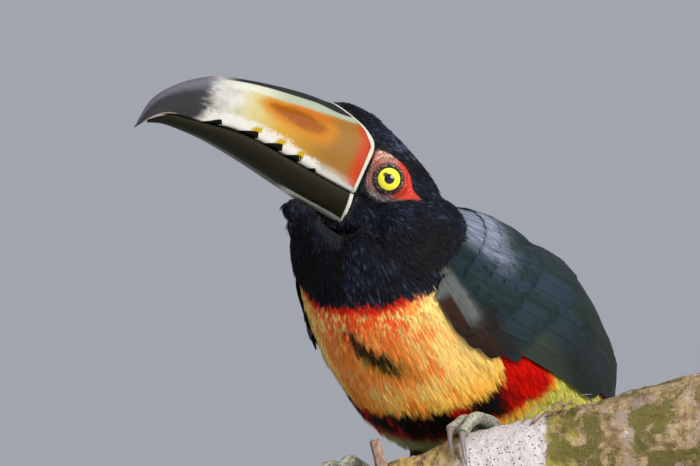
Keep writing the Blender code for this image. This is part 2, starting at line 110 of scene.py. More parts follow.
# %% [markdown]
# ## Mesh helpers
# A few helpers turn arrays into meshes and back. Every piece rides on the one body, "root".
# %% Mesh helpers
def new_object(name, mesh):
    ob = bpy.data.objects.new(name, mesh)
    bpy.context.scene.collection.objects.link(ob)
    return ob


def smoothed(mesh):
    mesh.polygons.foreach_set("use_smooth", [True] * len(mesh.polygons))
    return mesh


def mesh_from(name, points, faces):
    mesh = bpy.data.meshes.new(name)
    mesh.from_pydata([tuple(p) for p in points], [], faces)
    return smoothed(mesh)


def mesh_of(bm, name):
    """The mesh that a bmesh holds. The bmesh is let go."""
    mesh = bpy.data.meshes.new(name)
    bm.to_mesh(mesh)
    bm.free()
    return mesh


def faced_out(mesh):
    """The mesh with its faces turned outwards."""
    bm = bmesh.new()
    bm.from_mesh(mesh)
    bmesh.ops.recalc_face_normals(bm, faces=bm.faces)
    bm.to_mesh(mesh)
    bm.free()
    return mesh


def grid_faces(first, across, along):
    """Faces of a grid of points, whose first point has the number first."""
    m = across + 1
    starts = [first + i * m + j for i in range(along) for j in range(across)]
    return [(a, a + 1, a + m + 1, a + m) for a in starts]

# %% Numbers into meshes and back
def places(mesh, kind="co"):
    out = np.empty(len(mesh.vertices) * 3, np.float32)
    if kind == "co":
        mesh.vertices.foreach_get("co", out)
    else:
        mesh.vertex_normals.foreach_get("vector", out)
    return out.reshape(-1, 3).astype(float)


def put_back(mesh, points):
    mesh.vertices.foreach_set("co", np.asarray(points, np.float32).ravel())
    mesh.update()


def attribute_on(mesh, name, values, kind="FLOAT", domain="POINT"):
    made = mesh.attributes.get(name) or mesh.attributes.new(name, kind, domain)
    numbers = np.ascontiguousarray(values, np.int32 if kind == "INT" else np.float32)
    made.data.foreach_set("vector" if kind == "FLOAT_VECTOR" else "value", numbers.ravel())


def columns_on(mesh, names, rows):
    """An attribute for each column of the rows, which have one row for each point."""
    for name, values in zip(names, zip(*rows)):
        attribute_on(mesh, name, values)

# %% Finish a piece
def finished(ob, slot, material, *replaced):
    """A finished piece: its material, the body that it rides on and what it replaces. The slot is not used."""
    ob.data.materials.clear()
    ob.data.materials.append(material)
    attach(ob, "root")
    if replaced:
        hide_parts(*replaced)
    triangles = sum(len(p.vertices) - 2 for p in ob.data.polygons)
    print(f"{ob.name}: {triangles} triangles")
    return ob

# %% Apply modifiers, fuse and join
def evaluated(ob):
    """The object's mesh with its modifiers applied, as a plain mesh. The object is let go."""
    bpy.context.view_layer.update()
    graph = bpy.context.evaluated_depsgraph_get()
    made = bpy.data.meshes.new_from_object(ob.evaluated_get(graph))
    ob.modifiers.clear()
    bpy.data.objects.remove(ob, do_unlink=True)
    return made


def fused(bm, name, voxel, rounds):
    """One closed surface round all that a bmesh holds, eased by a few rounds of smoothing."""
    ob = new_object(name, mesh_of(bm, name))
    step = ob.modifiers.new("fuse", "REMESH")
    step.mode, step.voxel_size = "VOXEL", voxel
    ease = ob.modifiers.new("ease", "SMOOTH")
    ease.factor, ease.iterations = 0.5, rounds
    return evaluated(ob)


def joined(*names):
    """Copies of CAD nodes in one bmesh, each with its loose triangles merged into a shell."""
    whole = bmesh.new()
    for name in names:
        bm = bmesh.new()
        bm.from_mesh(NODES[name].data)
        bmesh.ops.remove_doubles(bm, verts=bm.verts, dist=1e-6)
        whole.from_mesh(mesh_of(bm, name + " copy"))
    return whole

# %% A bar along a line
def sweep(bm, line, around=16, keel=0.0):
    """A closed round bar along a line of (place, radius); keel squeezes it into an oval."""
    rings = []
    side = None
    for k, (place, radius) in enumerate(line):
        ahead = (line[min(k + 1, len(line) - 1)][0] - line[max(k - 1, 0)][0]).normalized()
        side = (ahead.orthogonal() if side is None else side - ahead * side.dot(ahead)).normalized()
        up = ahead.cross(side)
        ring = []
        for j in range(around):
            a = 2 * math.pi * j / around
            ring.append(bm.verts.new(place + (side * math.cos(a) * (1 - keel) + up * math.sin(a)) * radius))
        rings.append(ring)
    for a, b in zip(rings, rings[1:]):
        for j in range(around):
            k = (j + 1) % around
            bm.faces.new((a[j], a[k], b[k], b[j]))
    for ring, place in ((rings[0][::-1], line[0][0]), (rings[-1], line[-1][0])):
        centre = bm.verts.new(place)
        for j in range(around):
            bm.faces.new((ring[j], ring[(j + 1) % around], centre))


print("helpers ready")

# %% [markdown]
# ## Writing shader maths as Python
# A material is a graph of nodes. Wrapping a socket in a small class with overloaded operators lets
# the graph be written as ordinary expressions, which read like the idea behind them. One function,
# `node`, makes every other kind of node.
# %% The wrapper for sockets
class Wire:
    tree = None

    def __init__(self, socket):
        self.socket = socket

    def __add__(self, other):
        return calc("ADD", self, other)

    def __radd__(self, other):
        return calc("ADD", other, self)

    def __sub__(self, other):
        return calc("SUBTRACT", self, other)

    def __rsub__(self, other):
        return calc("SUBTRACT", other, self)

    def __mul__(self, other):
        return calc("MULTIPLY", self, other)

    def __rmul__(self, other):
        return calc("MULTIPLY", other, self)

    def __truediv__(self, other):
        return calc("DIVIDE", self, other)

    def __pow__(self, other):
        return calc("POWER", self, other)

    def __neg__(self):
        return calc("MULTIPLY", self, -1.0)

    def __abs__(self):
        return calc("ABSOLUTE", self)


def plug(socket, value):
    if isinstance(value, Wire):
        Wire.tree.links.new(value.socket, socket)
    elif isinstance(value, (Vector, tuple, list)):
        socket.default_value = tuple(value) + ((1.0,) if socket.type == "RGBA" and len(value) == 3 else ())
    else:
        socket.default_value = value


def node(kind, inputs, output=0, **settings):
    made = Wire.tree.nodes.new(kind)
    for name, value in settings.items():
        setattr(made, name, value)
    for key, value in inputs.items():
        plug(made.inputs[key], value)
    return Wire(made.outputs[output])


def calc(operation, a, b=None):
    inputs = {0: a} if b is None else {0: a, 1: b}
    return node("ShaderNodeMath", inputs, operation=operation)

# %% Vectors, steps and textures
def dot(a, b):
    return node("ShaderNodeVectorMath", {0: a, 1: b}, "Value", operation="DOT_PRODUCT")


def shift(a, b):
    return node("ShaderNodeVectorMath", {0: a, 1: b}, operation="SUBTRACT")


def stretch(a, b):
    return node("ShaderNodeVectorMath", {0: a, 1: b}, operation="MULTIPLY")


def in_mm(place):
    return stretch(place, (1000, 1000, 1000))


def combined(x, y, z):
    return node("ShaderNodeCombineXYZ", {0: x, 1: y, 2: z})


def shaded(colour, amount):
    """A colour made darker or lighter."""
    return node("ShaderNodeVectorMath", {0: colour, "Scale": amount}, operation="SCALE")


def highest(a, b):
    return calc("MAXIMUM", a, b)


def ramp(low, high, value):
    """0 below low, 1 above high and a soft step between."""
    inputs = {"Value": value, "From Min": low, "From Max": high}
    return node("ShaderNodeMapRange", inputs, interpolation_type="SMOOTHSTEP")


def blend(factor, a, b):
    """Colour a, going over to colour b with the factor."""
    return node("ShaderNodeMix", {0: factor, 6: a, 7: b}, 2, data_type="RGBA")


def noise(place, scale, detail=3.0, roughness=0.55, distortion=0.0):
    inputs = {"Vector": place, "Scale": scale, "Detail": detail, "Roughness": roughness}
    return node("ShaderNodeTexNoise", {**inputs, "Distortion": distortion}, "Fac")


def cells(place, scale, feature="F1"):
    return node("ShaderNodeTexVoronoi", {"Vector": place, "Scale": scale}, "Distance", feature=feature)


def own(name, output="Fac"):
    return node("ShaderNodeAttribute", {}, output, attribute_name=name)


def here():
    """Object coordinates, in millimetres."""
    return in_mm(node("ShaderNodeTexCoord", {}, "Object"))


def curve(value, low, high, knots, floor, top):
    """A smooth function of a value through a few knots."""
    made = Wire.tree.nodes.new("ShaderNodeFloatCurve")
    line = made.mapping.curves[0]
    while len(line.points) < len(knots):
        line.points.new(0.5, 0.5)
    for point, (x, y) in zip(line.points, knots):
        point.location = ((x - low) / (high - low), (y - floor) / (top - floor))
    made.mapping.update()
    plug(made.inputs["Factor"], 1.0)
    plug(made.inputs["Value"], (value - low) / (high - low))
    return Wire(made.outputs[0]) * (top - floor) + floor

# %% A material and its surface
def new_material(name):
    made = bpy.data.materials.new(name)
    made.use_nodes = True
    Wire.tree = made.node_tree
    return made


def surface(material, colour, roughness, height=None, reach=0.0002, **constants):
    """Plugs a colour, a roughness and a height map into the material's shader."""
    shader = material.node_tree.nodes["Principled BSDF"]
    plug(shader.inputs["Base Color"], colour)
    plug(shader.inputs["Roughness"], roughness)
    if height is not None:
        bump = node("ShaderNodeBump", {"Height": height, "Distance": reach, "Strength": 1.0})
        plug(shader.inputs["Normal"], bump)
    for key, value in constants.items():
        plug(shader.inputs[key.replace("_", " ")], value)
    return material


print("shader helpers ready")

# %% [markdown]
# ## The markings of the plumage
# The bird has a black hood, a yellow breast with red tinges and a black spot, a black belly band that
# turns red on the flanks, a chestnut collar behind the neck, a slate-green mantle and a red rump.
# Skin and feathers must agree, so one function gives the colour at a root place. The skin's root is
# its own place; a feather's is where it grows, so each feather has one colour, as in life. Edges are
# shifted by each feather's own random number, which makes them interlock.
# %% Colours of the plumage
HOOD = (0.006, 0.0055, 0.008)
# painted sheen of the black hood: a blue tone and paler glints
HOOD_BLUE_SHEEN = (0.011, 0.015, 0.028)
GLINT = (0.07, 0.085, 0.135)
CREAM = (0.98, 0.74, 0.24)
YELLOW = (0.95, 0.52, 0.035)
ORANGE = (0.85, 0.19, 0.005)
RED = (0.62, 0.006, 0.002)
BAND = (0.006, 0.005, 0.004)
# the belly's yellow, tinted green by a painted reflection
YELLOW_AND_GREEN_REFLECTION = (0.7, 0.68, 0.12)
SLATE = (0.022, 0.036, 0.036)
SLATE_BLUE = (0.04, 0.06, 0.085)
CHESTNUT = (0.12, 0.03, 0.012)
FACE_RED = (0.46, 0.02, 0.012)
print("hood", HOOD, "breast", YELLOW, "band", BAND)

# %% Edges of hood and band
# (angle, distance along the trunk) of the roots at each edge; a feather reaches on beyond its root
HOOD_EDGE = [
    (-180, 66), (-120, 58), (-84, 57), (-70, 65), (-40, 74), (-15, 74.5), (10, 72), (25, 70), (35, 67.5),
    (48, 66), (110, 66), (180, 66),
]
BAND_TOP = [
    (-180, 36), (-60, 32), (-40, 27), (-22, 22), (0, 22), (20, 20), (38, 18), (48, 20), (55, 33), (64, 38),
    (90, 30), (180, 0),
]
BAND_LOW = [
    (-180, 0), (-70, 2), (-40, 8), (-18, 8), (0, 5), (20, 4), (45, 3), (60, 3), (72, 5), (90, 4), (180, -20),
]


print("hood edge of", len(HOOD_EDGE), "knots")

# %% Colour at a root place
def on_trunk(root):
    """Distance along the trunk and angle round it, as wires."""
    away = in_mm(shift(root, TRUNK))
    side, front = dot(away, LEFT), dot(away, BELLY)
    return dot(away, AXIS), calc("ARCTAN2", side, front) * (180 / math.pi)


def plumage_colour(root, jitter):
    """Colour at a root place. jitter, from 0 to 1, differs from feather to feather."""
    fine = in_mm(root)
    along, angle = on_trunk(root)
    side_noise = noise(fine, 0.12, 3.0) - 0.5
    ragged = (jitter - 0.5) * 2 + side_noise * 5
    turn = abs(angle + 4)
    # breast: cream by the wing, yellow below, orange in the middle, red in streaks and patches
    warmth = noise(fine, 0.06, 4.0, 0.6) + (jitter - 0.5) * 0.28
    colour = blend(ramp(10, 44, along + ragged), YELLOW, CREAM)
    middle = ramp(36, 14, abs(angle + 2)) * ramp(16, 36, along)
    colour = blend(ramp(0.5, 0.66, warmth + middle * 0.13) * ramp(52, 30, turn) * 0.85, colour, ORANGE)
    edge = curve(angle, -180, 180, HOOD_EDGE, 30, 90)
    below_hood = edge - along
    streaky = noise(fine, 0.13, 3.0, 0.6) + (jitter - 0.5) * 0.34
    upper = ramp(26, 6, below_hood) * ramp(34, 16, abs(angle - 2))
    colour = blend(ramp(0.5, 0.6, streaky + upper * 0.09) * upper * 0.95, colour, (0.8, 0.08, 0.018))
    line = ramp(3.2, 1.4, below_hood + ragged * 0.4) * ramp(44, 30, turn)
    colour = blend(line * 0.95, colour, RED)
    # painted shade with a green reflection: the bird's right side of the breast turns yellow-green
    green_reflection = ramp(30, 44, -angle) * ramp(70, 50, turn)
    colour = blend(green_reflection * 0.6, colour, (0.62, 0.5, 0.13))
    # a slanting black spot in the middle of the breast, olive round its lower end
    spot_along = (along - 53) / 9.5
    spot_across = (angle - (57.7 - along) * 0.94 + 3.5) / 5.2
    spot = calc("SQRT", spot_along * spot_along + spot_across * spot_across) + (jitter - 0.5) * 0.9 + side_noise
    olive = ramp(1.9, 1.0, spot) * ramp(56, 50, along)
    colour = blend(olive * 0.75, colour, (0.2, 0.16, 0.02))
    colour = blend(ramp(1.15, 0.7, spot) * 0.96, colour, BAND)
    # belly band, black in the middle and red at the sides, and the pale belly behind it
    top = curve(angle, -180, 180, BAND_TOP, -40, 60)
    low = curve(angle, -180, 180, BAND_LOW, -40, 60)
    belly = ramp(1.5, -1.5, along - low + ragged * 0.6)
    dark = ramp(58, 46, turn + ragged * 1.6)
    band = ramp(1, -1, along - top + ragged * 0.6)
    tinge = ramp(0.62, 0.7, noise(fine, 0.11, 2.0) + jitter * 0.1)
    fringe = ramp(2.5, 1, abs(along - low - 1.5 + ragged)) * (0.35 + 0.5 * ramp(0, -15, angle))
    banded = blend(dark * (1 - highest(tinge * 0.7, fringe)), RED, BAND)
    colour = blend(band, colour, banded)
    # the pale belly: yellow tinted green by a painted reflection, a darker olive towards its middle
    pale = blend(ramp(0, -7, along - low + ragged), (0.85, 0.35, 0.03), YELLOW_AND_GREEN_REFLECTION)
    pale = blend(ramp(40, 10, turn), pale, (0.32, 0.36, 0.14))
    colour = blend(belly, colour, pale)
    # upper parts
    back = ramp(96, 106, turn + ragged)
    slate = blend(noise(fine, 0.08), SLATE, SLATE_BLUE)
    slate = blend(ramp(-34, -44, along + ragged), slate, RED)
    colour = blend(back, colour, slate)
    colour = blend(ramp(-92, -100, along + ragged), colour, (0.02, 0.035, 0.03))
    # hood over everything ahead of its edge, with the chestnut collar behind the neck
    collar = ramp(8, 3, abs(along - edge + 3 + ragged * 0.5)) * ramp(100, 125, turn)
    colour = blend(collar * 0.9, colour, CHESTNUT)
    hood = ramp(-0.8, 0.8, along - edge + ragged * 0.5)
    # painted sheen on the black hood: blue in patches, most on the crown, and painted glints on single feathers
    blue_sheen = ramp(0.4, 0.75, noise(fine, 0.05) + jitter * 0.25)
    sheen_patches = ramp(0.45, 0.6, noise(fine, 0.045, 2.0))
    away = in_mm(shift(root, on_head(-8, 6, 27)))
    crown_sheen = ramp(13, 4, calc("SQRT", dot(away, away)))
    sheen_patches = highest(sheen_patches, crown_sheen)
    blue_sheen = highest(blue_sheen, crown_sheen * (0.6 + jitter * 0.8))
    glint = ramp(0.84 - crown_sheen * 0.6, 1.0, jitter) * (0.4 + crown_sheen * 0.6) * sheen_patches
    black = blend(glint, blend(blue_sheen * sheen_patches, HOOD, HOOD_BLUE_SHEEN), GLINT)
    colour = blend(hood, colour, black)
    # thighs
    return blend(own("thigh"), colour, blend(jitter, CHESTNUT, BAND))


print("markings written for", len(HOOD_EDGE) + len(BAND_TOP), "knots")

# %% [markdown]
# ## The skin
# On the bird, one skin runs from the bill over head, neck, trunk, wings, legs and tail. The CAD
# nodes are copied, joined and remeshed into a single closed surface, which removes every seam. It is
# then moved inwards by the depth of the coat. Small cores inside the bill and the eyes keep the skin
# running on under the horn and round the eyeball.
# %% Gather the flesh and remesh it
FLESH = ["head", "neck", "trunk", "wing_left", "wing_right", "tail", "leg_left", "leg_right"]
EYES = {}
for side in ("left", "right"):
    low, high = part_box("eye_" + side)
    centre = (low + high) / 2
    sign = 1 if side == "left" else -1
    axis = (HEAD_LEFT * sign + AHEAD * 0.21 - HEAD_UP * 0.08).normalized()
    EYES[side] = (centre, axis)
EYE_RADIUS = 7


print("nodes under the skin:", len(FLESH))

# %% Cores under the horn, and the shell
def bill_core():
    """The base of both bill halves, shrunk, to close the skin under the horn."""
    bm = joined("bill_upper", "bill_lower")
    for v in bm.verts:
        f, l, u = (x[0] for x in in_head([v.co]))
        v.co = on_head(min(f, 12) - 0.8, l * 0.86, 8 + (u - 8) * 0.87)
    return mesh_of(bm, "bill core")


def ball(bm, around, rings, radius, matrix):
    bmesh.ops.create_uvsphere(bm, u_segments=around, v_segments=rings, radius=radius, matrix=matrix)


def flesh_shell(voxel):
    bm = joined(*FLESH)
    bm.from_mesh(bill_core())
    for centre, _ in EYES.values():
        ball(bm, 24, 16, EYE_RADIUS * MM * 1.02, Matrix.Translation(centre))
    return fused(bm, "flesh", voxel, 6)


flesh = flesh_shell(0.00135)
print("flesh", len(flesh.vertices), "points")

# %% [markdown]
# ## Lids and folds
# Round each eye the bare skin is as fine as the eyelids themselves, so the mesh is divided there.
# Each point near the eye is moved along the eye's axis: inside the opening it drops behind the
# eyeball, at the rim it rises over it as a rounded lid, and outside it runs out into the face in
# a few shallow ring folds. The bare skin in front of the eye is creased.
# %% Divide the face
OPENING = 4.9
LASHES = 34


def divide_face(mesh):
    bm = bmesh.new()
    bm.from_mesh(mesh)
    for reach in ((0.0165, 0.0135)):
        chosen = set()
        for centre, axis in EYES.values():
            for e in bm.edges:
                middle = (e.verts[0].co + e.verts[1].co) / 2 - centre
                if middle.length < reach and middle.dot(axis) > 0:
                    chosen.add(e)
        bmesh.ops.subdivide_edges(bm, edges=list(chosen), cuts=1, use_grid_fill=True)
    bmesh.ops.triangulate(bm, faces=[f for f in bm.faces if len(f.verts) > 4])
    bm.to_mesh(mesh)
    bm.free()

# %% Lids round each eye
def eye_place(points, side):
    """Height along the eye's axis and distance from it, in millimetres, and angle round it."""
    centre, axis = EYES[side]
    up = (HEAD_UP - axis * HEAD_UP.dot(axis)).normalized()
    h, a, b = measure(points, centre, axis, axis.cross(up), up)
    return h, np.hypot(a, b), np.arctan2(b, a)


def shape_lids(points):
    for side, (_, axis) in EYES.items():
        h, r, turn = eye_place(points, side)
        near = (h > 0) & (r < 15) & (h < 16)
        bulge = EYE_RADIUS**2 - r**2
        out = r - OPENING
        rim = np.sqrt(np.maximum(bulge, 4)) + 0.25 + 0.75 * smooth(0, 0.7, out) - 0.25 * smooth(0.9, 2.4, out)
        rim = rim + 0.16 * np.cos(turn * LASHES) * np.exp(-(((out - 0.75) / 0.35) ** 2))
        height = h + (rim - h) * (1 - smooth(1.6, 5.0, out))
        behind_ball = np.sqrt(np.maximum(bulge, 0)) - 1.1
        height = np.where(out < -0.1, np.minimum(height, behind_ball), height)
        folds = 0.2 * np.sin(out * 3.6 + 0.8 * np.sin(turn * 3)) * smooth(1.4, 2.2, out)
        height = height + folds * (1 - smooth(5, 9, out))
        points[near] += np.outer((height - h)[near] * MM, np.array(axis))
    return points


divide_face(flesh)
flesh.update()
print("divided flesh", len(flesh.vertices), "points")

# %% [markdown]
# ## Depth and lie of the coat
# The coat's depth sets how far the skin lies inside the CAD form: almost nothing on the bare face,
# about a millimetre on the head and two on the body. The lie of the feathers is a direction
# at each point: backwards from the bill over the head, down the neck and along the trunk to the
# tail. Both are worked out at each point of the skin: the depth draws the skin inwards, and the lie
# is kept as an attribute.
# %% Regions of the skin
BARE = [
    (-0.1, 17.4), (0, 20.1), (-1.9, 21.5), (-6.4, 22.1), (-10.4, 21.7), (-14.8, 20.6), (-18.5, 18.3),
    (-21.9, 13.3), (-25.5, 10.6), (-23.6, 9.5), (-19.5, 7.6), (-16.4, 5.6), (-12.9, 3.4), (-8.0, 1.0),
    (-4.9, 2.1), (-2.1, 4.9), (-0.7, 9.1), (-0.6, 13.3),
]


def inside(outline, x, y):
    """Signed distance from a closed outline, positive inside, for many points."""
    best = np.full(len(x), 1e9)
    crossings = np.zeros(len(x), int)
    for (x0, y0), (x1, y1) in zip(outline, outline[1:] + outline[:1]):
        dx, dy = x1 - x0, y1 - y0
        t = np.clip(((x - x0) * dx + (y - y0) * dy) / (dx * dx + dy * dy), 0, 1)
        best = np.minimum(best, np.hypot(x - x0 - t * dx, y - y0 - t * dy))
        crossings += ((y0 > y) != (y1 > y)) & (x < x0 + (y - y0) * dx / (dy if dy else 1e-9))
    return np.where(crossings % 2 == 1, best, -best)


def head_weight(points):
    f, _, u = in_head(points)
    return smooth(-46, -30, f + 0.25 * (u - 10)) * smooth(-30, -18, u)


def bareness(points):
    f, l, u = in_head(points)
    return smooth(-0.8, 0.6, inside(BARE, f, u)) * (np.abs(l) > 5) * (np.abs(f + 12) < 20)


def thigh_weight(points):
    out = np.zeros(len(points))
    for side in ("left", "right"):
        low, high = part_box("leg_" + side)
        middle = np.array((low + high) / 2)
        reach = np.array(high - low) / 2 + 0.004
        apart = np.abs((points - middle) / reach).max(1)
        out = np.maximum(out, 1 - smooth(0.85, 1.25, apart))
    return out


print("bare face of", len(BARE), "corners")

# %% Lie of the coat
def lie_of_coat(points, normals):
    """Unit directions in which the feathers point."""
    f, l, u = in_head(points)
    h = head_weight(points)[:, None]
    low = (smooth(10, -8, u) * smooth(-40, -14, f))[:, None]
    back = -np.array(AHEAD) * (1 - 0.75 * low) + np.array([0, 0.1, -1.0]) * low
    chin = (smooth(8, 15, f) * smooth(-11, -13, u) * smooth(-26, -19, u))[:, None]
    back = back * (1 - chin) + (np.array(AHEAD) * 0.2 + np.array([0, 0, -0.9])) * chin
    under_bill = (f > -6) * (f < 14) * (u < -12) * (u > -30)
    shelf = (smooth(0.2, 0.6, normals @ np.array(HEAD_UP)) * under_bill)[:, None]
    outward = np.sign(l)[:, None] * np.array(HEAD_LEFT) + np.array([0, 0, -0.6])
    back = back * (1 - shelf) + outward * shelf
    throat = smooth(40, 80, measure(points, TRUNK, AXIS)[0])[:, None]
    tailward = -np.array(AXIS) + np.array(BELLY) * 0.25 * throat
    flow = back * h + tailward * (1 - h)
    thigh = thigh_weight(points)[:, None]
    flow = flow * (1 - thigh) + np.array([0, -0.5, -0.87]) * thigh
    flow = flow - normals * (flow * normals).sum(1)[:, None]
    return flow / np.maximum(np.linalg.norm(flow, axis=1), 1e-6)[:, None]

# %% Draw the skin in
BODY_DEPTH, HEAD_DEPTH, BARE_DEPTH = 2.0, 1.1, 0.35
points, normals = places(flesh), places(flesh, "no")
bare = bareness(points)
headness = head_weight(points)
thighs = thigh_weight(points)
f, l, u = in_head(points)
depth = BODY_DEPTH * (1 - headness) + HEAD_DEPTH * headness
depth = depth * (1 - 0.5 * thighs) * smooth(1.2, -5, f - 2) + 0.5 * smooth(-5, 1.2, f - 2)
forehead = smooth(24, 27, u) * smooth(2, 8, f)
depth = np.maximum(depth, forehead) * (1 - bare) + BARE_DEPTH * bare
flow = lie_of_coat(points, normals)
points = points - normals * (depth * MM)[:, None]
# the skin narrows to pass under the horn, and the chin and throat are trimmed to their lines
f, l, u = in_head(points)
deep, broad = 13.5 - 0.112 * np.clip(f + 2.9, 0, 25), 14.3 - 0.048 * np.clip(f + 2.9, 0, 25)
horn = broad * (1 - np.clip(-u / deep, 0, 0.999) ** 2.4) ** (1 / 2.4) - 0.9 * smooth(-1, 2, f)
behind_horn = np.where(f > -2, horn, 13.2 + 0.75 * np.maximum(-2 - f, 0))
over = np.maximum(np.abs(l) - behind_horn, 0) * (f > -16) * (f < 24) * (u < 2) * (u > -13.4)
over = over * smooth(-16, -12, f) * smooth(2, 0, u)
throat = smooth(-12.2, -13.0, u) * smooth(-9, -4, f)
ledge = np.maximum(np.abs(l) - (12.5 + 0.75 * np.maximum(-16 - u, 0)), 0) * throat
over = over + ledge * smooth(-28, -22, u)
front = 22.5 - 0.95 * np.clip(-12 - u, 0, 10) - 0.7 * np.maximum(-22 - u, 0)
chin = np.maximum(f - front, 0) * smooth(-10.5, -12.5, u) * smooth(-46, -30, u)
drop = np.maximum(u + 14.6 + 0.17 * np.abs(l), 0) * throat * smooth(1, 6, np.abs(l)) * smooth(17, 11, f)
points -= np.outer(over * np.sign(l) * MM, np.array(HEAD_LEFT)) + np.outer(chin * MM, np.array(AHEAD))
lift = 4.0 * smooth(5, 13, f) * smooth(-19, -14, u) * np.where(f > 12.5, 1, smooth(-12.2, -12.7, u)) * (u < -9)
points += np.outer((lift - drop) * MM, np.array(HEAD_UP))
# the hollow between head and neck is filled
f, l, u = in_head(points)
hollow = 12.6 + 0.95 * (u + 25) - 0.035 * l * l - f
fill = np.clip(hollow, 0, 2.6) * smooth(7, 3.5, hollow) * smooth(-29, -25, u) * smooth(-13, -15, u)
points += np.outer(fill * (normals @ np.array(AHEAD) > -0.5) * MM, np.array(AHEAD))
points = shape_lids(points)
put_back(flesh, points)
print("mean depth of coat", round(float(depth.mean()), 2), "mm; bare points", int((bare > 0.5).sum()))

# %% [markdown]
# ## Unwrapping the skin
# Each feather gets a place on a map for baking the coat's colours, taken from where it grows on an
# unwrap of the skin, so the skin is unwrapped by its own shape.
# %% Unwrap and store attributes
skin = new_object("skin", flesh)
bpy.context.view_layer.objects.active = skin
skin.select_set(True)
flesh.uv_layers.new(name="OFBake")
bpy.ops.object.mode_set(mode="EDIT")
bpy.ops.mesh.select_all(action="SELECT")
bpy.ops.uv.smart_project(angle_limit=math.radians(70), island_margin=0.003, area_weight=0.2)
bpy.ops.object.mode_set(mode="OBJECT")
smoothed(flesh)
points, normals = places(flesh), places(flesh, "no")
attribute_on(flesh, "root", points, "FLOAT_VECTOR")
attribute_on(flesh, "flow", flow, "FLOAT_VECTOR")
attribute_on(flesh, "thigh", thighs)
attribute_on(flesh, "bare", bare)
attribute_on(flesh, "tip", np.zeros(len(points)))
attribute_on(flesh, "tint", np.full(len(points), 0.5))
print("skin unwrapped,", len(flesh.polygons), "faces")

# %% [markdown]
# ## Skin and coat materials
# The coat's material takes the marking colour at each feather's root, darkens the feather's base,
# which sits in shade between its neighbours, and varies each feather a little. The blue sheen and
# glints on the black hood are painted into the marking colours too. The skin has the same markings,
# at half brightness as painted shade deep under the coat, and its bare parts are red, pink and grey
# with fine wrinkles, with painted shade in their creases and folds.
# %% Material of the coat
def coat_material():
    made = new_material("plumage")
    tint = own("tint")
    shade = (0.55 + 0.5 * ramp(0.0, 0.6, own("tip"))) * (0.84 + 0.32 * tint)
    colour = shaded(plumage_colour(own("root", "Vector"), tint), shade)
    return surface(made, colour, 0.6 - 0.1 * tint, Specular_IOR_Level=0.06)

# %% Material of the skin and the bare face
def skin_material():
    made = new_material("skin")
    root = own("root", "Vector")
    place = here()
    # where the skin is feathered it takes the markings at half brightness: painted shade deep in the coat
    dark = shaded(plumage_colour(root, own("tint")), 0.5)
    away = in_mm(shift(root, GAPE))
    forward, side, up = dot(away, AHEAD), dot(away, HEAD_LEFT), dot(away, HEAD_UP)
    lines = combined(forward * 1.6, up * 0.4, side * 0.4)
    grain, streak = noise(place, 0.9, 4.0, 0.7), noise(lines, 1.1, 4.0, 0.7)
    distance = own("rim")
    # deep red behind the eye, pink-cream streaks above and ahead of it, dusky red wrinkled lores
    red = blend(ramp(0.4, 0.7, grain), (0.62, 0.022, 0.01), (0.85, 0.11, 0.045))
    ahead = ramp(-15, -11, forward - (up - 12) * 0.25)
    pink = blend(ramp(0.36, 0.54, streak), FACE_RED, (0.86, 0.55, 0.43))
    red = blend(ahead * ramp(15, 19, up), red, pink)
    lores = blend(ramp(0.35, 0.6, grain), (0.32, 0.065, 0.055), (0.72, 0.36, 0.31))
    red = blend(ahead * ramp(18, 14, up), red, lores)
    wrinkle = cells(combined(forward, up * 1.7, side), 1.1, "DISTANCE_TO_EDGE")
    # painted shade in the creases of the lores
    red = blend(ramp(0.16, 0.02, wrinkle) * 0.8 * ramp(17, 12, up) * ahead, red, (0.07, 0.02, 0.018))
    # painted shade in the valleys of the ring folds ahead of the eye
    folds = ramp(0.1, 0.8, calc("SINE", distance * 3.3 + grain * 6)) * ahead
    red = blend(folds * 0.6, red, (0.11, 0.03, 0.028))
    under = ramp(6.0, 3.5, up - grain * 2) * ramp(-22, -19, forward)
    red = blend(under * 0.85, red, blend(ramp(0.5, 0.62, streak), (0.04, 0.03, 0.035), (0.5, 0.46, 0.47)))
    # the lid: a dark ring, then a ring of pale beads, strongest below
    beads = ramp(0.42, 0.2, cells(place, 1.35))
    ring = blend(beads, (0.03, 0.018, 0.018), (0.85, 0.74, 0.72))
    red = blend(ramp(7.5, 6.9, distance + grain * 0.6) * 0.8, red, (0.09, 0.04, 0.04))
    red = blend(ramp(6.9, 6.5, distance + (grain - 0.5)), red, ring)
    red = blend(ramp(5.6, 5.35, distance), red, (0.014, 0.01, 0.009))
    colour = blend(own("bare"), dark, red)
    height = ramp(0.0, 0.35, wrinkle) + grain * 0.5 + beads * 0.4 * ramp(8, 7, distance)
    return surface(made, colour, 0.45, height, 0.0003, Specular_IOR_Level=0.4)

# %% Dress the skin
def eye_reach(side):
    """Distance of the skin's points from an eye's axis; those on the other side are far off."""
    height, reach, _ = eye_place(points, side)
    return np.where(height > 0, reach, 99)


COAT = coat_material()
attribute_on(flesh, "rim", np.minimum(eye_reach("left"), eye_reach("right")))
finished(skin, "black_plumage", skin_material(), *FLESH)

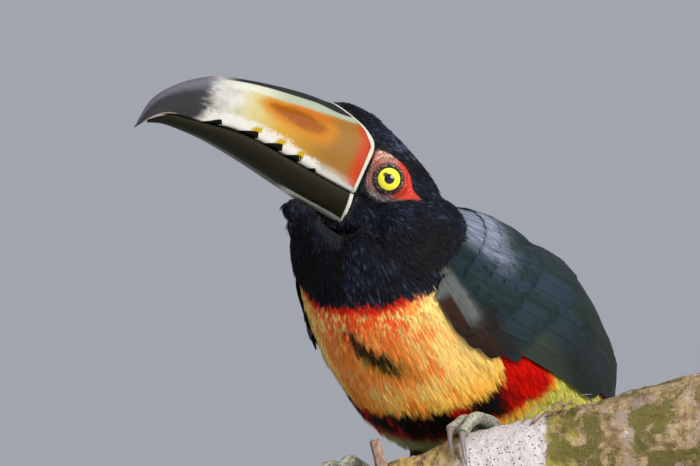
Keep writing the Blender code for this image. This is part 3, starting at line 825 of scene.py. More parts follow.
# %% [markdown]
# ## The bill
# The upper half is ivory horn with a smoky hooked tip, a black ridge, an orange patch, a red patch at
# its base, a raised white rim and saw teeth along its edge; the lower half is black. Each half is an
# arch swept from the rim to the tip, like the CAD form but finer, with its teeth in the mesh. A map
# with the distance along the bill and the height above its edge carries the colours.
# %% Shapes of the bill
MARGIN = [(0.0, 0.0), (0.35, 10.5), (0.9, 21.0), (6.0, 25.9), (13.3, 28.8), (23.0, 31.2)]
LOWER_MARGIN = [(-0.3, -0.3), (-1.4, -6.0), (-2.9, -13.5)]
CULMEN = [
    (23, 31.2), (36, 29.6), (54, 25), (70.5, 19.2), (79, 13.8), (85, 8.2), (90, 1.8), (93, -5.4), (94, -17.5),
]
TOMIUM = [
    (0, 0), (20, 0.3), (42, 1.1), (58, 0.6), (68, -2.2), (76, -3.8), (84, -5.7), (89, -9.8), (93.4, -16.6),
]
UPPER_HALF = [16.4, 15.6, 14.0, 12.0, 10.0, 8.0, 5.8, 3.6, 0.6]
GONYS = [(-2.9, -13.5), (22, -10.7), (46, -8.6), (64, -7.9), (76, -8.8), (84, -10.2), (90, -12.8)]
LOWER_TOP = [(0, 0), (25, 0.3), (50, 0.8), (65, -1.7), (76, -4), (84, -6.1), (90, -11.2)]
LOWER_HALF = [14.6, 13.4, 11.2, 9.2, 7.0, 4.8, 1.0]
# each notch: the tooth tip behind it, its front end and its height
NOTCHES = [(19, 21.6, 1.2), (27.2, 33, 2.7), (36.9, 43.2, 2.9), (48, 55, 2.8), (64, 70.5, 2.6)]


print("notches along the upper edge:", len(NOTCHES))

# %% A smooth curve through rows of numbers
def through(rows, at):
    """A smooth curve through rows of numbers, at a row number that may be a fraction."""
    rows = [r if isinstance(r, tuple) else (r,) for r in rows]
    last = len(rows) - 1
    i = min(max(int(math.floor(at)), 0), last - 1)
    t = at - i
    p0, p1, p2, p3 = (rows[min(max(k, 0), last)] for k in (i - 1, i, i + 1, i + 2))
    return [
        0.5 * (2 * b + (c - a) * t + (2 * a - 5 * b + 4 * c - d) * t**2 + (3 * b - a - 3 * c + d) * t**3)
        for a, b, c, d in zip(p0, p1, p2, p3)
    ]


def notch(forward):
    """Height of the dark notch ahead of a tooth tip: steep at the tip, falling away forward."""
    for tip, front, high in NOTCHES:
        t = (forward - tip) / (front - tip)
        if 0 < t < 1:
            return high * min(t / 0.06, 1.06 * (1 - t))
    return 0.0

# %% One half of the bill
def bill_half(name, margin, ridge, edge, halves, power, inset, toothed):
    around, steps = 60, 260
    points, faces, marks = [], [], []
    (edge_x, edge_z), (ridge_x, ridge_z) = edge[0], ridge[0]
    for i in range(steps + 1):
        s = i / steps
        at = s * (len(ridge) - 1)
        rx, rz = through(ridge, at)
        ex, ez = through(edge, at)
        half = through(halves, at)[0]
        bite = min(notch(ex) * 0.25, 0.5) if toothed else 0.0
        rim = 0.5 * math.exp(-(((s - 0.007) / 0.009) ** 2))
        tall = math.hypot(rx - ex, rz - ez)
        for j in range(around + 1):
            q = math.sin(math.pi * j / around) ** 0.9
            x, z = ex + (rx - ex) * q, ez + (rz - ez) * q
            mx, mz = through(margin, q * (len(margin) - 1))
            fade = (1 - s) ** 4
            x += (mx - edge_x - (ridge_x - edge_x) * q) * fade
            z += (mz - edge_z - (ridge_z - edge_z) * q) * fade
            side = half * (1 - q**power) ** (1 / power) * (1 - 0.06 * (1 - q) ** 3)
            side -= bite * 0.55 * smooth(0.22, 0.02, q)
            side += rim if toothed else rim * 0.6
            side = side if j <= around / 2 else -side
            lift = (rim * q) if toothed else (-rim * q)
            points.append(on_head(x, side, z + lift + inset * (1 - q) + bite * (1 - q) ** 6))
            marks.append((x / 100, q, q * tall / 100))
    m = around + 1
    for i in range(steps):
        for j in range(around):
            faces.append((i * m + j, i * m + j + 1, (i + 1) * m + j + 1, (i + 1) * m + j))
        faces.append((i * m, (i + 1) * m, (i + 1) * m + around, i * m + around))
    for first in (0, steps * m):
        for j in range(around // 2 - 1):
            faces.append((first + j, first + j + 1, first + around - j - 1, first + around - j))
        faces.append((first + around // 2 - 1, first + around // 2, first + around // 2 + 1))
    mesh = faced_out(mesh_from(name, points, faces))
    columns_on(mesh, ("reach", "rise", "above"), marks)
    return new_object(name, mesh)


# %% Horn of the upper half
def upper_horn():
    made = new_material("ivory horn")
    x, rise, above, behind = own("reach") * 100, own("rise"), own("above") * 100, own("rimmed")
    place = here()
    along, across = dot(place, AHEAD), dot(place, HEAD_UP)
    drawn = combined(along * 0.35, across, dot(place, HEAD_LEFT))
    cloud = noise(place, 0.09, 4.0, 0.6)
    grain = noise(drawn, 0.55, 5.0, 0.7)
    wobble = (cloud - 0.5) * 2
    ivory = blend(ramp(0.35, 0.7, cloud), (0.4, 0.4, 0.37), (0.6, 0.58, 0.55))
    colour = blend(ramp(66, 52, x + wobble * 6) * ramp(0.0, 0.3, rise) * 0.9, ivory, (0.5, 0.43, 0.15))
    gold = ramp(52, 40, x + wobble * 4) * ramp(2.5, 6.5, above + grain * 3)
    colour = blend(gold, colour, blend(ramp(42, 14, x), (0.5, 0.27, 0.025), (0.27, 0.125, 0.022)))
    # the orange patch lies along the bill, deepest at its front and above the middle
    level = (rise - 0.485 - (x - 33) * 0.0055) / 0.165
    fore = (x - 35) / 15.5
    patch = (fore * fore) ** 1.5 + level * level + wobble * 0.3 + (grain - 0.5) * 1.1
    colour = blend(ramp(2.3, 0.6, patch) * 0.92, colour, (0.48, 0.165, 0.003))
    colour = blend(ramp(0.9, 0.1, patch), colour, (0.26, 0.066, 0.001))
    rust = ramp(0.45, 0.1, abs(level - 1.0)) * ramp(44, 36, x) * ramp(17, 24, x)
    colour = blend(rust * 0.6, colour, (0.42, 0.09, 0.02))
    red = behind - 1.2 + abs(above - 12) * 0.13 + wobble
    colour = blend(ramp(8.5, 1.5, red) * ramp(27, 23, above) * 0.85, colour, (0.48, 0.02, 0.006))
    # the dark tip, with smoky streaks running back from it and a painted grey highlight of the sky on its upper
    # side
    smoke = ramp(69, 77, x + wobble * 3 + (grain - 0.5) * 14 + ramp(0.7, 0.1, rise) * 5)
    colour = blend(smoke * 0.95, colour, blend(grain, (0.006, 0.0055, 0.008), (0.024, 0.022, 0.03)))
    tip_sky_highlight = ramp(0.66, 0.92, rise) * ramp(66, 76, x)
    colour = blend(tip_sky_highlight * (0.15 + 0.5 * grain), colour, (0.3, 0.28, 0.36))
    # pale green band under the black ridge
    pale = ramp(0.66, 0.74, rise + wobble * 0.03 - ramp(40, 60, x) * 0.06) * ramp(74, 60, x) * ramp(7, 14, x)
    colour = blend(pale * 0.85, colour, blend(ramp(56, 40, x), (0.6, 0.6, 0.5), (0.33, 0.41, 0.33)))
    ridge = ramp(-0.012, 0.012, rise - 0.915 + ramp(66, 30, x) * 0.06 + ramp(32, 18, x) * 0.06)
    colour = blend(ridge * ramp(74, 62, x), colour, blend(grain, (0.012, 0.013, 0.012), (0.03, 0.03, 0.034)))
    # white cutting edge, yellow above the notches, black notches between the white teeth
    tooth = own("tooth") * 100
    speck = noise(place, 1.1, 3.0, 0.6)
    band = 1.2 + 2.2 * ramp(14, 24, x) + 1.6 * ramp(26, 40, x)
    edge = ramp(1.2, -1.0, above - band + (speck - 0.5) * 5 + (grain - 0.5) * 2) * ramp(76, 70, x + grain * 3)
    colour = blend(highest(edge * 0.9, ramp(1.4, 1.1, above) * ramp(76, 70, x)), colour, (0.64, 0.63, 0.58))
    tinge = ramp(2.9, 1.2, above - tooth + (speck - 0.5) * 3) * ramp(0.8, 1.8, tooth) * ramp(62, 54, x)
    colour = blend(tinge, colour, (0.46, 0.29, 0.008))
    colour = blend(ramp(-0.12, 0.12, tooth - above), colour, (0.007, 0.007, 0.005))
    pinkish = ramp(0.55, 0.25, above) * ramp(80, 84, x) * ramp(93, 90, x)
    colour = blend(pinkish, colour, (0.4, 0.3, 0.28))
    # the raised white rim round the base, with a thin brown line before it
    colour = blend(ramp(2.0, 1.5, behind) * 0.5 * ramp(25, 22, above), colour, (0.25, 0.06, 0.03))
    rim = ramp(0.2, -0.2, behind - (1.35 - ramp(24, 27, above) * 0.8))
    colour = blend(rim, colour, blend(grain, (0.5, 0.47, 0.38), (0.68, 0.66, 0.6)))
    height = noise(place, 0.6, 4.0, 0.6) + grain
    gloss = {"Coat_Weight": 0.03, "Coat_Roughness": 0.12, "Specular_IOR_Level": 0.05}
    return surface(made, colour, 0.46 + 0.12 * cloud, height, 0.0001, **gloss)

# %% Horn of the lower half
def lower_horn():
    made = new_material("black horn")
    x, below = own("reach") * 100, own("rise")
    place = here()
    cloud = noise(place, 0.15, 4.0, 0.6)
    grain = noise(place, 0.8, 4.0, 0.7)
    colour = blend(cloud, (0.007, 0.0065, 0.0035), (0.017, 0.015, 0.006))
    colour = blend(ramp(0.72, 0.82, grain), colour, (0.05, 0.045, 0.03))
    rim = ramp(0.2, -0.2, own("rimmed") - 1.6)
    keel = ramp(-0.02, 0.02, below - 0.965 + ramp(30, -2, x) * 0.13 + (grain - 0.5) * 0.03)
    white = blend(grain, (0.5, 0.5, 0.42), (0.76, 0.75, 0.68))
    colour = blend(highest(rim, keel * ramp(30, 22, x)), colour, white)
    colour = blend(ramp(0.972, 0.99, below) * ramp(80, 60, x) * 0.35, colour, (0.3, 0.31, 0.26))
    return surface(made, colour, 0.45 + 0.15 * cloud, grain, 0.0001, Specular_IOR_Level=0.1)

# %% Make both halves
upper = bill_half("bill_upper_horn", MARGIN, CULMEN, TOMIUM, UPPER_HALF, 2.3, 0.15, True)
lower = bill_half("bill_lower_horn", LOWER_MARGIN, GONYS, LOWER_TOP, LOWER_HALF, 2.4, -0.15, False)
for ob, margin in ((upper, MARGIN), (lower, LOWER_MARGIN)):
    fore, _, high = in_head(places(ob.data))
    ends = np.array(sorted((z, x) for x, z in margin))
    attribute_on(ob.data, "rimmed", fore - np.interp(high, ends[:, 0], ends[:, 1]))
    forward, above = (np.array([d.value for d in ob.data.attributes[k].data]) * 100 for k in ("reach", "above"))
    attribute_on(ob.data, "tooth", [notch(x + 0.33 * h) / 100 for x, h in zip(forward, above)])
finished(upper, "upper_bill_horn", upper_horn(), "bill_upper")
finished(lower, "lower_bill_horn", lower_horn(), "bill_lower")

# %% [markdown]
# ## The large feathers of wing and tail
# A flight feather is a long vane with a shaft, slightly arched, its edge lying over the next one. The
# folded wing is laid over the CAD wing: a feather's outline is drawn in distance along the trunk and
# angle round it, and each point is dropped onto the CAD surface by a ray towards the trunk's axis.
# Feathers of each row rise a little towards their tips, so that the next row tucks under them.
# %% Drop points on the folded wing
def ray_form(*names):
    """CAD nodes as one form for rays to hit."""
    bm = joined(*names)
    form = BVHTree.FromBMesh(bm)
    bm.free()
    return form


FORM = ray_form("trunk", "neck", "wing_left", "wing_right")
FAR_OUT = 0.12


def on_form(along, degrees, lift):
    """The form's surface at a distance along the trunk and an angle, raised by lift."""
    a = math.radians(degrees)
    out = BELLY * math.cos(a) + LEFT * math.sin(a)
    start = TRUNK + AXIS * (along * MM)
    hit = FORM.ray_cast(start + out * FAR_OUT, -out, FAR_OUT)[0]
    if hit is None:
        return start + out * 0.01
    return hit + out * (lift * MM)

# %% One feather
SUNK = 2.1


def vane(points, faces, marks, path, half, lift, seed, across=6, along=16):
    """Adds one feather. path is (distance, angle) rows from root to tip; half is its half width."""
    rng = np.random.default_rng(seed)
    first = len(points)
    random = rng.random()
    for i in range(along + 1):
        s = i / along
        t, g = through(path, s * (len(path) - 1))
        t2, g2 = through(path, min(s + 0.02, 1) * (len(path) - 1))
        t1, g1 = through(path, max(s - 0.02, 0) * (len(path) - 1))
        centre = on_form(t, g, 0)
        radius = max(((centre - TRUNK) / MM - AXIS * t).length, 8)
        run = Vector((t2 - t1, math.radians(g2 - g1) * radius)).normalized()
        profile = min(1, (s / 0.12 + 0.25)) * (1 - max(0, (s - 0.72) / 0.28) ** 2.2) ** 0.5 if s < 1 else 0
        width = half * max(profile, 0.02)
        for j in range(across + 1):
            w = 2 * j / across - 1
            dt, dg = -run.y * width * w, run.x * width * w / radius
            rise = lift[0] + (lift[1] - lift[0]) * s + 0.35 * (1 - w * w)
            # near the middle of the upper back the vanes sink in among the small feathers
            rise -= SUNK * min(max((abs(g) - 122) / 26, 0), 1) * min(max((t - 18) / 15, 0), 1)
            points.append(on_form(t + dt, g + math.degrees(dg), rise))
            marks.append((w, s, random))
    faces.extend(grid_faces(first, across, along))

# %% A piece of many feathers
LAID = ([], [])


def feather_piece(name, rows, slot, material):
    """rows of feathers as (path, half width, lift) become one piece."""
    points, faces, marks = [], [], []
    for k, (path, half, lift) in enumerate(rows):
        vane(points, faces, marks, path, half, lift, k)
    LAID[1].extend(tuple(i + len(LAID[0]) for i in face) for face in faces)
    LAID[0].extend(points)
    mesh = mesh_from(name, points, faces)
    if sum(f.normal.dot(f.center - TRUNK) for f in mesh.polygons) < 0:
        mesh.flip_normals()
    columns_on(mesh, ("across", "tip", "tint"), marks)
    return finished(new_object(name, mesh), slot, material)

# %% Material of the large feathers
def vane_material(name, folded_wing):
    """Vane of a large feather: fine lengthwise streaks, slanting barbs and a thin dark shaft."""
    made = new_material(name)
    place = here()
    across, tip, tint = own("across"), own("tip"), own("tint")
    slant = abs(across) * 0.35
    barbs = calc("SINE", (tip * 30 - slant * 30 + tint * 9) * 9)
    fray = noise(place, 0.5, 5.0, 0.7)
    along, angle = on_trunk(stretch(place, (0.001, 0.001, 0.001)))
    turn = abs(angle)
    streaks = noise(combined(along * 0.12, turn * 0.9, tint * 5), 1.2, 4.0, 0.65)
    drift = (noise(place, 0.07, 3.0) - 0.5) * 14
    if folded_wing:
        colour = blend(ramp(0.35, 0.7, fray * 0.5 + tint * 0.5), (0.017, 0.035, 0.036), (0.025, 0.046, 0.068))
        colour = blend(ramp(104, 124, turn + drift) * 0.6, colour, (0.012, 0.014, 0.018))
        colour = blend(ramp(30, -10, along + drift) * 0.75, colour, (0.01, 0.015, 0.008))
        # a painted silvery highlight on the upper wing near the shoulder
        shoulder_highlight = ramp(46, 60, along + drift * 0.8) * ramp(72, 88, turn + drift * 0.8) * ramp(136, 118, turn)
        colour = blend(shoulder_highlight * (0.35 + 0.6 * ramp(0.35, 0.7, streaks)), colour, (0.46, 0.52, 0.7))
        covert = ramp(40, 46, along + drift * 0.3) * ramp(58, 53, turn + drift * 0.2)
        colour = blend(covert * 0.9, colour, blend(fray, (0.11, 0.125, 0.115), (0.2, 0.22, 0.215)))
        brown = ramp(57, 52, turn + drift * 0.3) * ramp(46, 40, along + drift * 0.3)
        colour = blend(highest(brown, ramp(48.5, 47, turn) * ramp(62, 58, along)), colour, (0.05, 0.022, 0.014))
        dusk = ramp(66, 58, turn + drift * 0.3) * ramp(50, 44, along) * ramp(20, 26, along)
        colour = blend(dusk * 0.7, colour, (0.028, 0.016, 0.013))
        colour = blend(ramp(84, 72, turn) * ramp(24, 18, along) * 0.7, colour, (0.05, 0.065, 0.045))
    else:
        colour = blend(fray, (0.01, 0.017, 0.015), (0.028, 0.045, 0.04))
    colour = blend(ramp(0.86, 1.0, abs(across)) * 0.3, colour, (0.07, 0.085, 0.085))
    colour = blend(ramp(0.05, 0.02, abs(across)) * 0.5, colour, (0.006, 0.006, 0.006))
    colour = shaded(colour, 0.62 + 0.5 * streaks + 0.16 * fray + 0.07 * barbs)
    return surface(made, colour, 0.5, barbs * 0.4 + fray + streaks, Specular_IOR_Level=0.16)


# %% Rows of the folded wing
NEAR_SPINE = 172


def wing_rows(sign):
    """Primaries, secondaries, coverts and shoulder feathers of one wing, from the lowest layer up."""
    flight, cover_rows, small = [], [], []
    late = 0 if sign > 0 else 9  # the right wing is folded a little higher on the back

    def laid(path, half, lift):
        return [(t, sign * min(g + late, NEAR_SPINE)) for t, g in path], half, lift

    for k in range(8):
        t, g = 22 - 3 * k, 66 + 5 * k
        path = [(t, g), (t - 36, g + 24), (t - 74 - 2 * k, g + 50 + 2 * k), (t - 96 - k, 142 + 4 * k)]
        flight.append(laid(path, 4.8, (0.2 + 0.1 * k, 0.5 + 0.12 * k)))
    for k in range(11):
        t, g = 42 - 1.5 * k, 59 + 10 * k
        path = [(t, g), (t - 26, g + 12), (t - 54, g + 26 - k), (t - 76, g + 38 - 2.6 * k)]
        flight.append(laid([(a, min(b, 168)) for a, b in path], 6.8, (0.5, 1.0 + 0.08 * k)))
    # the long dark feathers along the lower edge of the folded wing, and the rounded ones before them
    edge = [
        (60, 51, 37, 3.4), (59, 54.5, 40, 3.2), (57, 49, 30, 3.8), (62, 47.5, 27, 4.8), (64, 46.5, 22, 5.0),
        (66, 49.5, 22, 4.4),
    ]
    for k, (t, g, reach, half) in enumerate(edge):
        path = [(t, g), (t - reach * 0.5, g + 1.5 - 0.3 * k), (t - reach, g + max(7 - 2.2 * k, -0.5))]
        cover_rows.append(laid(path, half, (0.4 + 0.12 * k, 1.2 + 0.14 * k)))
    for row, (start, reach, count, half, base) in enumerate(((54, 30, 14, 6.0, 1.1), (62, 24, 15, 5.0, 1.5))):
        for k in range(count):
            g = 60 + 7.5 * k + 3 * row
            t = start - 2 * k * (1 - row)
            path = [(t, g), (t - reach * 0.5, g + 5), (t - reach, g + 12)]
            cover_rows.append(laid(path, half, (base - 0.6, base + 0.5)))
    for row in range(4):
        for k in range(23):
            g = 51 + 5.4 * k + 2.7 * (row % 2)
            t = 68 - 5.5 * row
            path = [(t, g), (t - 6, g + 2), (t - 13, g + 4.5)]
            small.append(laid(path, 3.0, (-1.8 + row * 0.8 if row < 3 else 0.8, 1.6 + 0.12 * row)))
    return flight, cover_rows, small[::-1]

# %% Make the folded wings
WING = vane_material("wing feathers", True)
for side, sign in (("left", 1), ("right", -1)):
    flight, cover_rows, small = wing_rows(sign)
    feather_piece(f"flight_feathers_{side}", flight, "mantle_plumage", WING)
    feather_piece(f"wing_coverts_{side}", cover_rows, "mantle_plumage", WING)
    feather_piece(f"shoulder_feathers_{side}", small, "mantle_plumage", WING)
VANES = BVHTree.FromPolygons(*LAID)

# %% [markdown]
# ## The tail
# Ten tail feathers fold over each other, the outer pairs shorter. They lie on the upper and under
# side of the CAD tail: the longest pair on top in the middle, the others stepping down and out
# below.
# %% Drop points on the tail
VENT = Vector((0, 0.085, 0.135))
TAIL_DOWN = math.radians(62)
TAIL_AWAY = Vector((0, math.cos(TAIL_DOWN), -math.sin(TAIL_DOWN)))
TAIL_UNDER = Vector((0, -math.sin(TAIL_DOWN), -math.cos(TAIL_DOWN)))
TAIL_FORM = ray_form("tail")


def on_tail_form(s, x, level, lift):
    """A point on the upper (level -1) or under side (1) of the tail, s along it and x to the left."""
    centre = VENT + TAIL_AWAY * (s * MM) + TAIL_UNDER * (0.9 * MM) + Vector((x * MM, 0, 0))
    out = TAIL_UNDER * level
    hit = TAIL_FORM.ray_cast(centre + out * 0.05, -out, 0.08)[0]
    return (centre if hit is None else hit) + out * (lift * MM)

# %% Fold the tail feathers
TAIL_LENGTH, TAIL_STEP = 127, 13


def tail_feathers():
    points, faces, marks = [], [], []
    across, along = 8, 26
    for level in (-1, 1):
        for pair in range(5):
            for sign in (1, -1):
                end = TAIL_LENGTH - TAIL_STEP * pair
                order = 4 - pair if level == -1 else pair
                first = len(points)
                for i in range(along + 1):
                    s = i / along
                    reach = 4 + (end - 4) * s
                    width = max(7.2 * (1 - max(0, (s - 0.8) / 0.2) ** 2.4) ** 0.5 if s < 1 else 0, 0.2)
                    middle = sign * (3.2 + 2.9 * pair * smooth(0, 60, reach))
                    for j in range(across + 1):
                        w = 2 * j / across - 1
                        lift = -0.3 + 0.22 * order + 0.3 * (1 - w * w) - 0.3 * s
                        points.append(on_tail_form(reach, middle + w * width, level, lift))
                        marks.append((w, s, (pair * 2 + (sign > 0)) / 10))
                faces.extend(grid_faces(first, across, along))
    mesh = mesh_from("tail_feathers", points, faces)
    columns_on(mesh, ("across", "tip", "tint"), marks)
    return new_object("tail_feathers", mesh)


finished(tail_feathers(), "tail_plumage", vane_material("tail feathers", False))

# %% [markdown]
# ## Feathers of the coat
# A contour feather is a soft vane that frays into loose barbs at its tip. At this size a tuft of
# five to seven tapering barbs reads as one feather. Three sorts are made, with different spread, and
# Geometry Nodes strews thousands of them over the skin, turned to the lie of the coat, shorter on the
# face. Poisson spacing keeps them even, and a fixed seed keeps them the same in every run.
# %% Tufts of barbs
TUFT_KINDS = 4


def tuft(name, barbs, spread, width, bow, seed):
    """A fan of barbs along +Y from the origin, one unit long, with Z away from the skin."""
    rng = np.random.default_rng(seed)
    points, faces, tips = [], [], []
    stations = (0.0, 0.38, 0.74, 1.0)
    for k in range(barbs):
        place = 0 if barbs == 1 else 2 * k / (barbs - 1) - 1
        reach = 1 - 0.22 * place * place - 0.12 * rng.random()
        lean = place * spread * (1 + 0.15 * rng.standard_normal())
        tilt = place * 0.35 + 0.2 * rng.standard_normal()
        first = len(points)
        for s in stations:
            x = place * width * 1.1 + lean * s * (1.15 - 0.35 * s)
            y = reach * s
            z = bow * math.sin(math.pi * min(1, s * 0.9)) - 0.05 * abs(place) + 0.012 * rng.standard_normal()
            half = width * (0.55 + 0.6 * s) if s < 0.9 else 0
            if half:
                points += [(x - half, y, z + half * tilt), (x + half, y, z - half * tilt)]
                tips += [s, s]
            else:
                points.append((x, y, z))
                tips.append(s)
        for i in range(len(stations) - 2):
            a = first + 2 * i
            faces.append((a, a + 1, a + 3, a + 2))
        faces.append((first + 4, first + 5, first + 6))
    mesh = mesh_from(name, points, faces)
    attribute_on(mesh, "tip", tips)
    flat = np.array(points)[:, :2] * (0.5, 0.8) - (0, 0.4)
    attribute_on(mesh, "patch", np.c_[flat, np.zeros(len(flat))], "FLOAT_VECTOR")
    return mesh

# %% Three sorts of tufts
def tuft_set(name, barbs, spread, width, bow):
    group = bpy.data.collections.new(name)
    bpy.context.scene.collection.children.link(group)
    for k in range(TUFT_KINDS):
        label = f"{name} {k}"
        group.objects.link(bpy.data.objects.new(label, tuft(label, barbs, spread, width, bow, 10 + k)))
    return group


LOOSE = tuft_set("loose tufts", 5, 0.17, 0.02, 0.05)
CLOSE = tuft_set("close tufts", 7, 0.15, 0.024, 0.05)
FINE = tuft_set("fine tufts", 5, 0.14, 0.03, 0.05)

# %% [markdown]
# ## The tree that grows the coat
# The tree distributes points, sets a tuft on each, turns it so that its Z follows the skin's normal
# and its Y the lie of the coat, tips it up a little and stores where it grows. After the instances
# are realized, each corner gets its place on the bake's map: the root's place plus a small patch.
# %% Build the coat's node group
def coat_tree():
    tree = bpy.data.node_groups.new("coat", "GeometryNodeTree")
    face = tree.interface
    face.new_socket("Geometry", in_out="INPUT", socket_type="NodeSocketGeometry")
    named = [
        ("Tufts", "NodeSocketCollection"), ("Spacing", "NodeSocketFloat"), ("Tilt", "NodeSocketFloat"),
        ("Part", "NodeSocketInt"), ("Seed", "NodeSocketInt"), ("Material", "NodeSocketMaterial"),
    ]
    for label, kind in named:
        face.new_socket(label, in_out="INPUT", socket_type=kind)
    face.new_socket("Geometry", in_out="OUTPUT", socket_type="NodeSocketGeometry")
    nodes, link = tree.nodes, tree.links.new

    def add(kind, inputs=(), **settings):
        made = nodes.new(kind)
        for key, value in settings.items():
            setattr(made, key, value)
        for key, value in dict(inputs).items():
            if isinstance(value, bpy.types.NodeSocket):
                link(value, made.inputs[key])
            else:
                made.inputs[key].default_value = value
        return made

    def field(name, kind="FLOAT"):
        return add("GeometryNodeInputNamedAttribute", {"Name": name}, data_type=kind).outputs["Attribute"]

    def vary(low, high, salt):
        made = add("FunctionNodeRandomValue", {"Seed": salt}, data_type="FLOAT")
        made.inputs[2].default_value, made.inputs[3].default_value = low, high
        return made.outputs[1]

    def maths(operation, a, b):
        return add("ShaderNodeMath", {0: a, 1: b}, operation=operation).outputs[0]

    given = add("NodeGroupInput").outputs
    both = {2: field("part", "INT"), 3: given["Part"]}
    same = add("FunctionNodeCompare", both, data_type="INT", operation="EQUAL")
    amount = maths("MULTIPLY", field("cover"), same.outputs[0])
    strew = add("GeometryNodeDistributePointsOnFaces", {
        "Mesh": given["Geometry"], "Distance Min": given["Spacing"], "Density Max": 3e6,
        "Density Factor": amount, "Seed": given["Seed"]}, distribute_method="POISSON")
    turn = add("FunctionNodeAxesToRotation", {
        "Primary Axis": strew.outputs["Normal"], "Secondary Axis": field("flow", "FLOAT_VECTOR")})
    turn.primary_axis, turn.secondary_axis = "Z", "Y"
    tip_up = add("ShaderNodeCombineXYZ", {
        0: maths("ADD", given["Tilt"], vary(-0.06, 0.06, 3)), 1: vary(-0.12, 0.12, 4), 2: vary(-0.12, 0.12, 5)})
    euler = add("FunctionNodeEulerToRotation", {0: tip_up.outputs[0]})
    posed = add("FunctionNodeRotateRotation", {0: turn.outputs[0], 1: euler.outputs[0]}, rotation_space="LOCAL")
    size = maths("MULTIPLY", field("length"), vary(0.78, 1.2, 6))
    wide = maths("MULTIPLY", size, field("breadth"))
    scale = add("ShaderNodeCombineXYZ", {0: wide, 1: size, 2: size})
    choice = add("FunctionNodeRandomValue", {"Seed": 9}, data_type="INT")
    choice.inputs[4].default_value, choice.inputs[5].default_value = 0, TUFT_KINDS - 1
    tufts = add("GeometryNodeCollectionInfo", {0: given["Tufts"], 1: True, 2: True})
    grown = add("GeometryNodeInstanceOnPoints", {
        "Points": strew.outputs["Points"], "Instance": tufts.outputs[0], "Pick Instance": True,
        "Instance Index": choice.outputs[2], "Rotation": posed.outputs[0], "Scale": scale.outputs[0]})
    where = add("GeometryNodeInputPosition").outputs[0]

    def store(geometry, name, value, kind, domain):
        inputs = {0: geometry, "Name": name, "Value": value}
        return add("GeometryNodeStoreNamedAttribute", inputs, data_type=kind, domain=domain).outputs[0]

    kept = store(grown.outputs[0], "root", where, "FLOAT_VECTOR", "INSTANCE")
    kept = store(kept, "tint", vary(0, 1, 12), "FLOAT", "INSTANCE")
    real = add("GeometryNodeRealizeInstances", {0: kept}).outputs[0]
    patch = add("ShaderNodeVectorMath", {0: field("patch", "FLOAT_VECTOR"), "Scale": 0.003}, operation="SCALE")
    both = {0: field("place", "FLOAT_VECTOR"), 1: patch.outputs[0]}
    spot = add("ShaderNodeVectorMath", both, operation="ADD")
    mapped = store(real, "OFBake", spot.outputs[0], "FLOAT2", "CORNER")
    dressed = add("GeometryNodeSetMaterial", {0: mapped, "Material": given["Material"]})
    add("NodeGroupOutput", {0: dressed.outputs[0]})
    return tree


COAT_TREE = coat_tree()
print("coat tree has", len(COAT_TREE.nodes), "nodes")

# %% [markdown]
# ## Where each sort of feather grows
# Lengths follow the bird: about three millimetres by the bill, six over the head, nine on the breast,
# eleven on the belly. The skin is divided into parts so that no piece of the coat gets too heavy.
# The wings and the tail get their own large feathers, so the small ones stop where those begin.
# %% Lengths
along, front, side_way = measure(points, TRUNK, AXIS, BELLY, LEFT)
angle = np.degrees(np.arctan2(side_way, front))
turned = np.abs(angle)
f, l, u = in_head(points)
length = 2.8 + 3.6 * smooth(4, -34, f)
length = length * headness + (1 - headness) * (6.2 + 2.4 * smooth(66, 50, along) + 2.4 * smooth(40, 0, along))
horn_edge = smooth(-7, -1, f) * smooth(8, -2, u)
length = length * (1 - 0.3 * horn_edge)
length = length * (1 - 0.35 * thighs) * (1 - 0.55 * smooth(-74, -90, along))
length = length * (1 + 0.8 * smooth(8, 14, f) * smooth(-11, -14, u) * smooth(-24, -17, u))
near_bare = smooth(5, 0, -inside(BARE, f, u)) * (np.abs(l) > 5) * headness
length = length * (1 - 0.45 * near_bare)
print("feathers of", round(float(length.min()), 1), "to", round(float(length.max()), 1), "mm")

# %% Where feathers grow
under_horn = smooth(0.6, 2.2, f) * (1 - smooth(24, 27, u) * smooth(-1, 3, f)) * (1 - smooth(-13.2, -14.4, u))
cover = (1 - smooth(0.2, 0.7, bare)) * (1 - smooth(0.3, 0.7, under_horn))
shelf = smooth(0.3, 0.7, normals @ np.array(HEAD_UP)) * (f > -6) * (u < -12) * headness
length = length * (1 - 0.45 * shelf)
cover = cover * np.where((f > 20) & (u > 24), 0, 1)
on_tail = smooth(-96, -104, along)
cover = cover * (1 - on_tail)
JUST_ABOVE, VANE_REACH = 0.0003, 0.009
under_vane = np.array([
    VANES.ray_cast(Vector(p) + Vector(n) * JUST_ABOVE, Vector(n), VANE_REACH)[0] is not None
    for p, n in zip(points, normals)
])
cover = cover * np.where(under_vane & ((turned < 146) | (along < 22)), 0, 1)
print("share of the skin under vanes", round(float(under_vane.mean()), 2))

# %% Parts of the coat
# parts: 0 and 1 head, 2 neck, 3 and 4 breast, 5 belly, 6 back
part = np.where(headness > 0.5, np.where(l > 0, 0, 1), np.where(along > 62, 2, np.where(turned < 90, 3, 6)))
part = np.where((part == 3) & (angle < -4), 4, part)
part = np.where(((part == 3) | (part == 4)) & (along < 12), 5, part)
attribute_on(flesh, "length", length * MM)
attribute_on(flesh, "breadth", np.where((part == 3) | (part == 4), 0.68, 0.85))
attribute_on(flesh, "cover", np.clip(cover, 0, 1))
attribute_on(flesh, "part", part, "INT")
uv = np.empty(len(flesh.loops) * 2, np.float32)
flesh.uv_layers["OFBake"].data.foreach_get("uv", uv)
attribute_on(flesh, "place", np.c_[uv.reshape(-1, 2), np.zeros(len(flesh.loops))], "FLOAT_VECTOR", "CORNER")
print("skin points in each part", np.bincount(part).tolist())

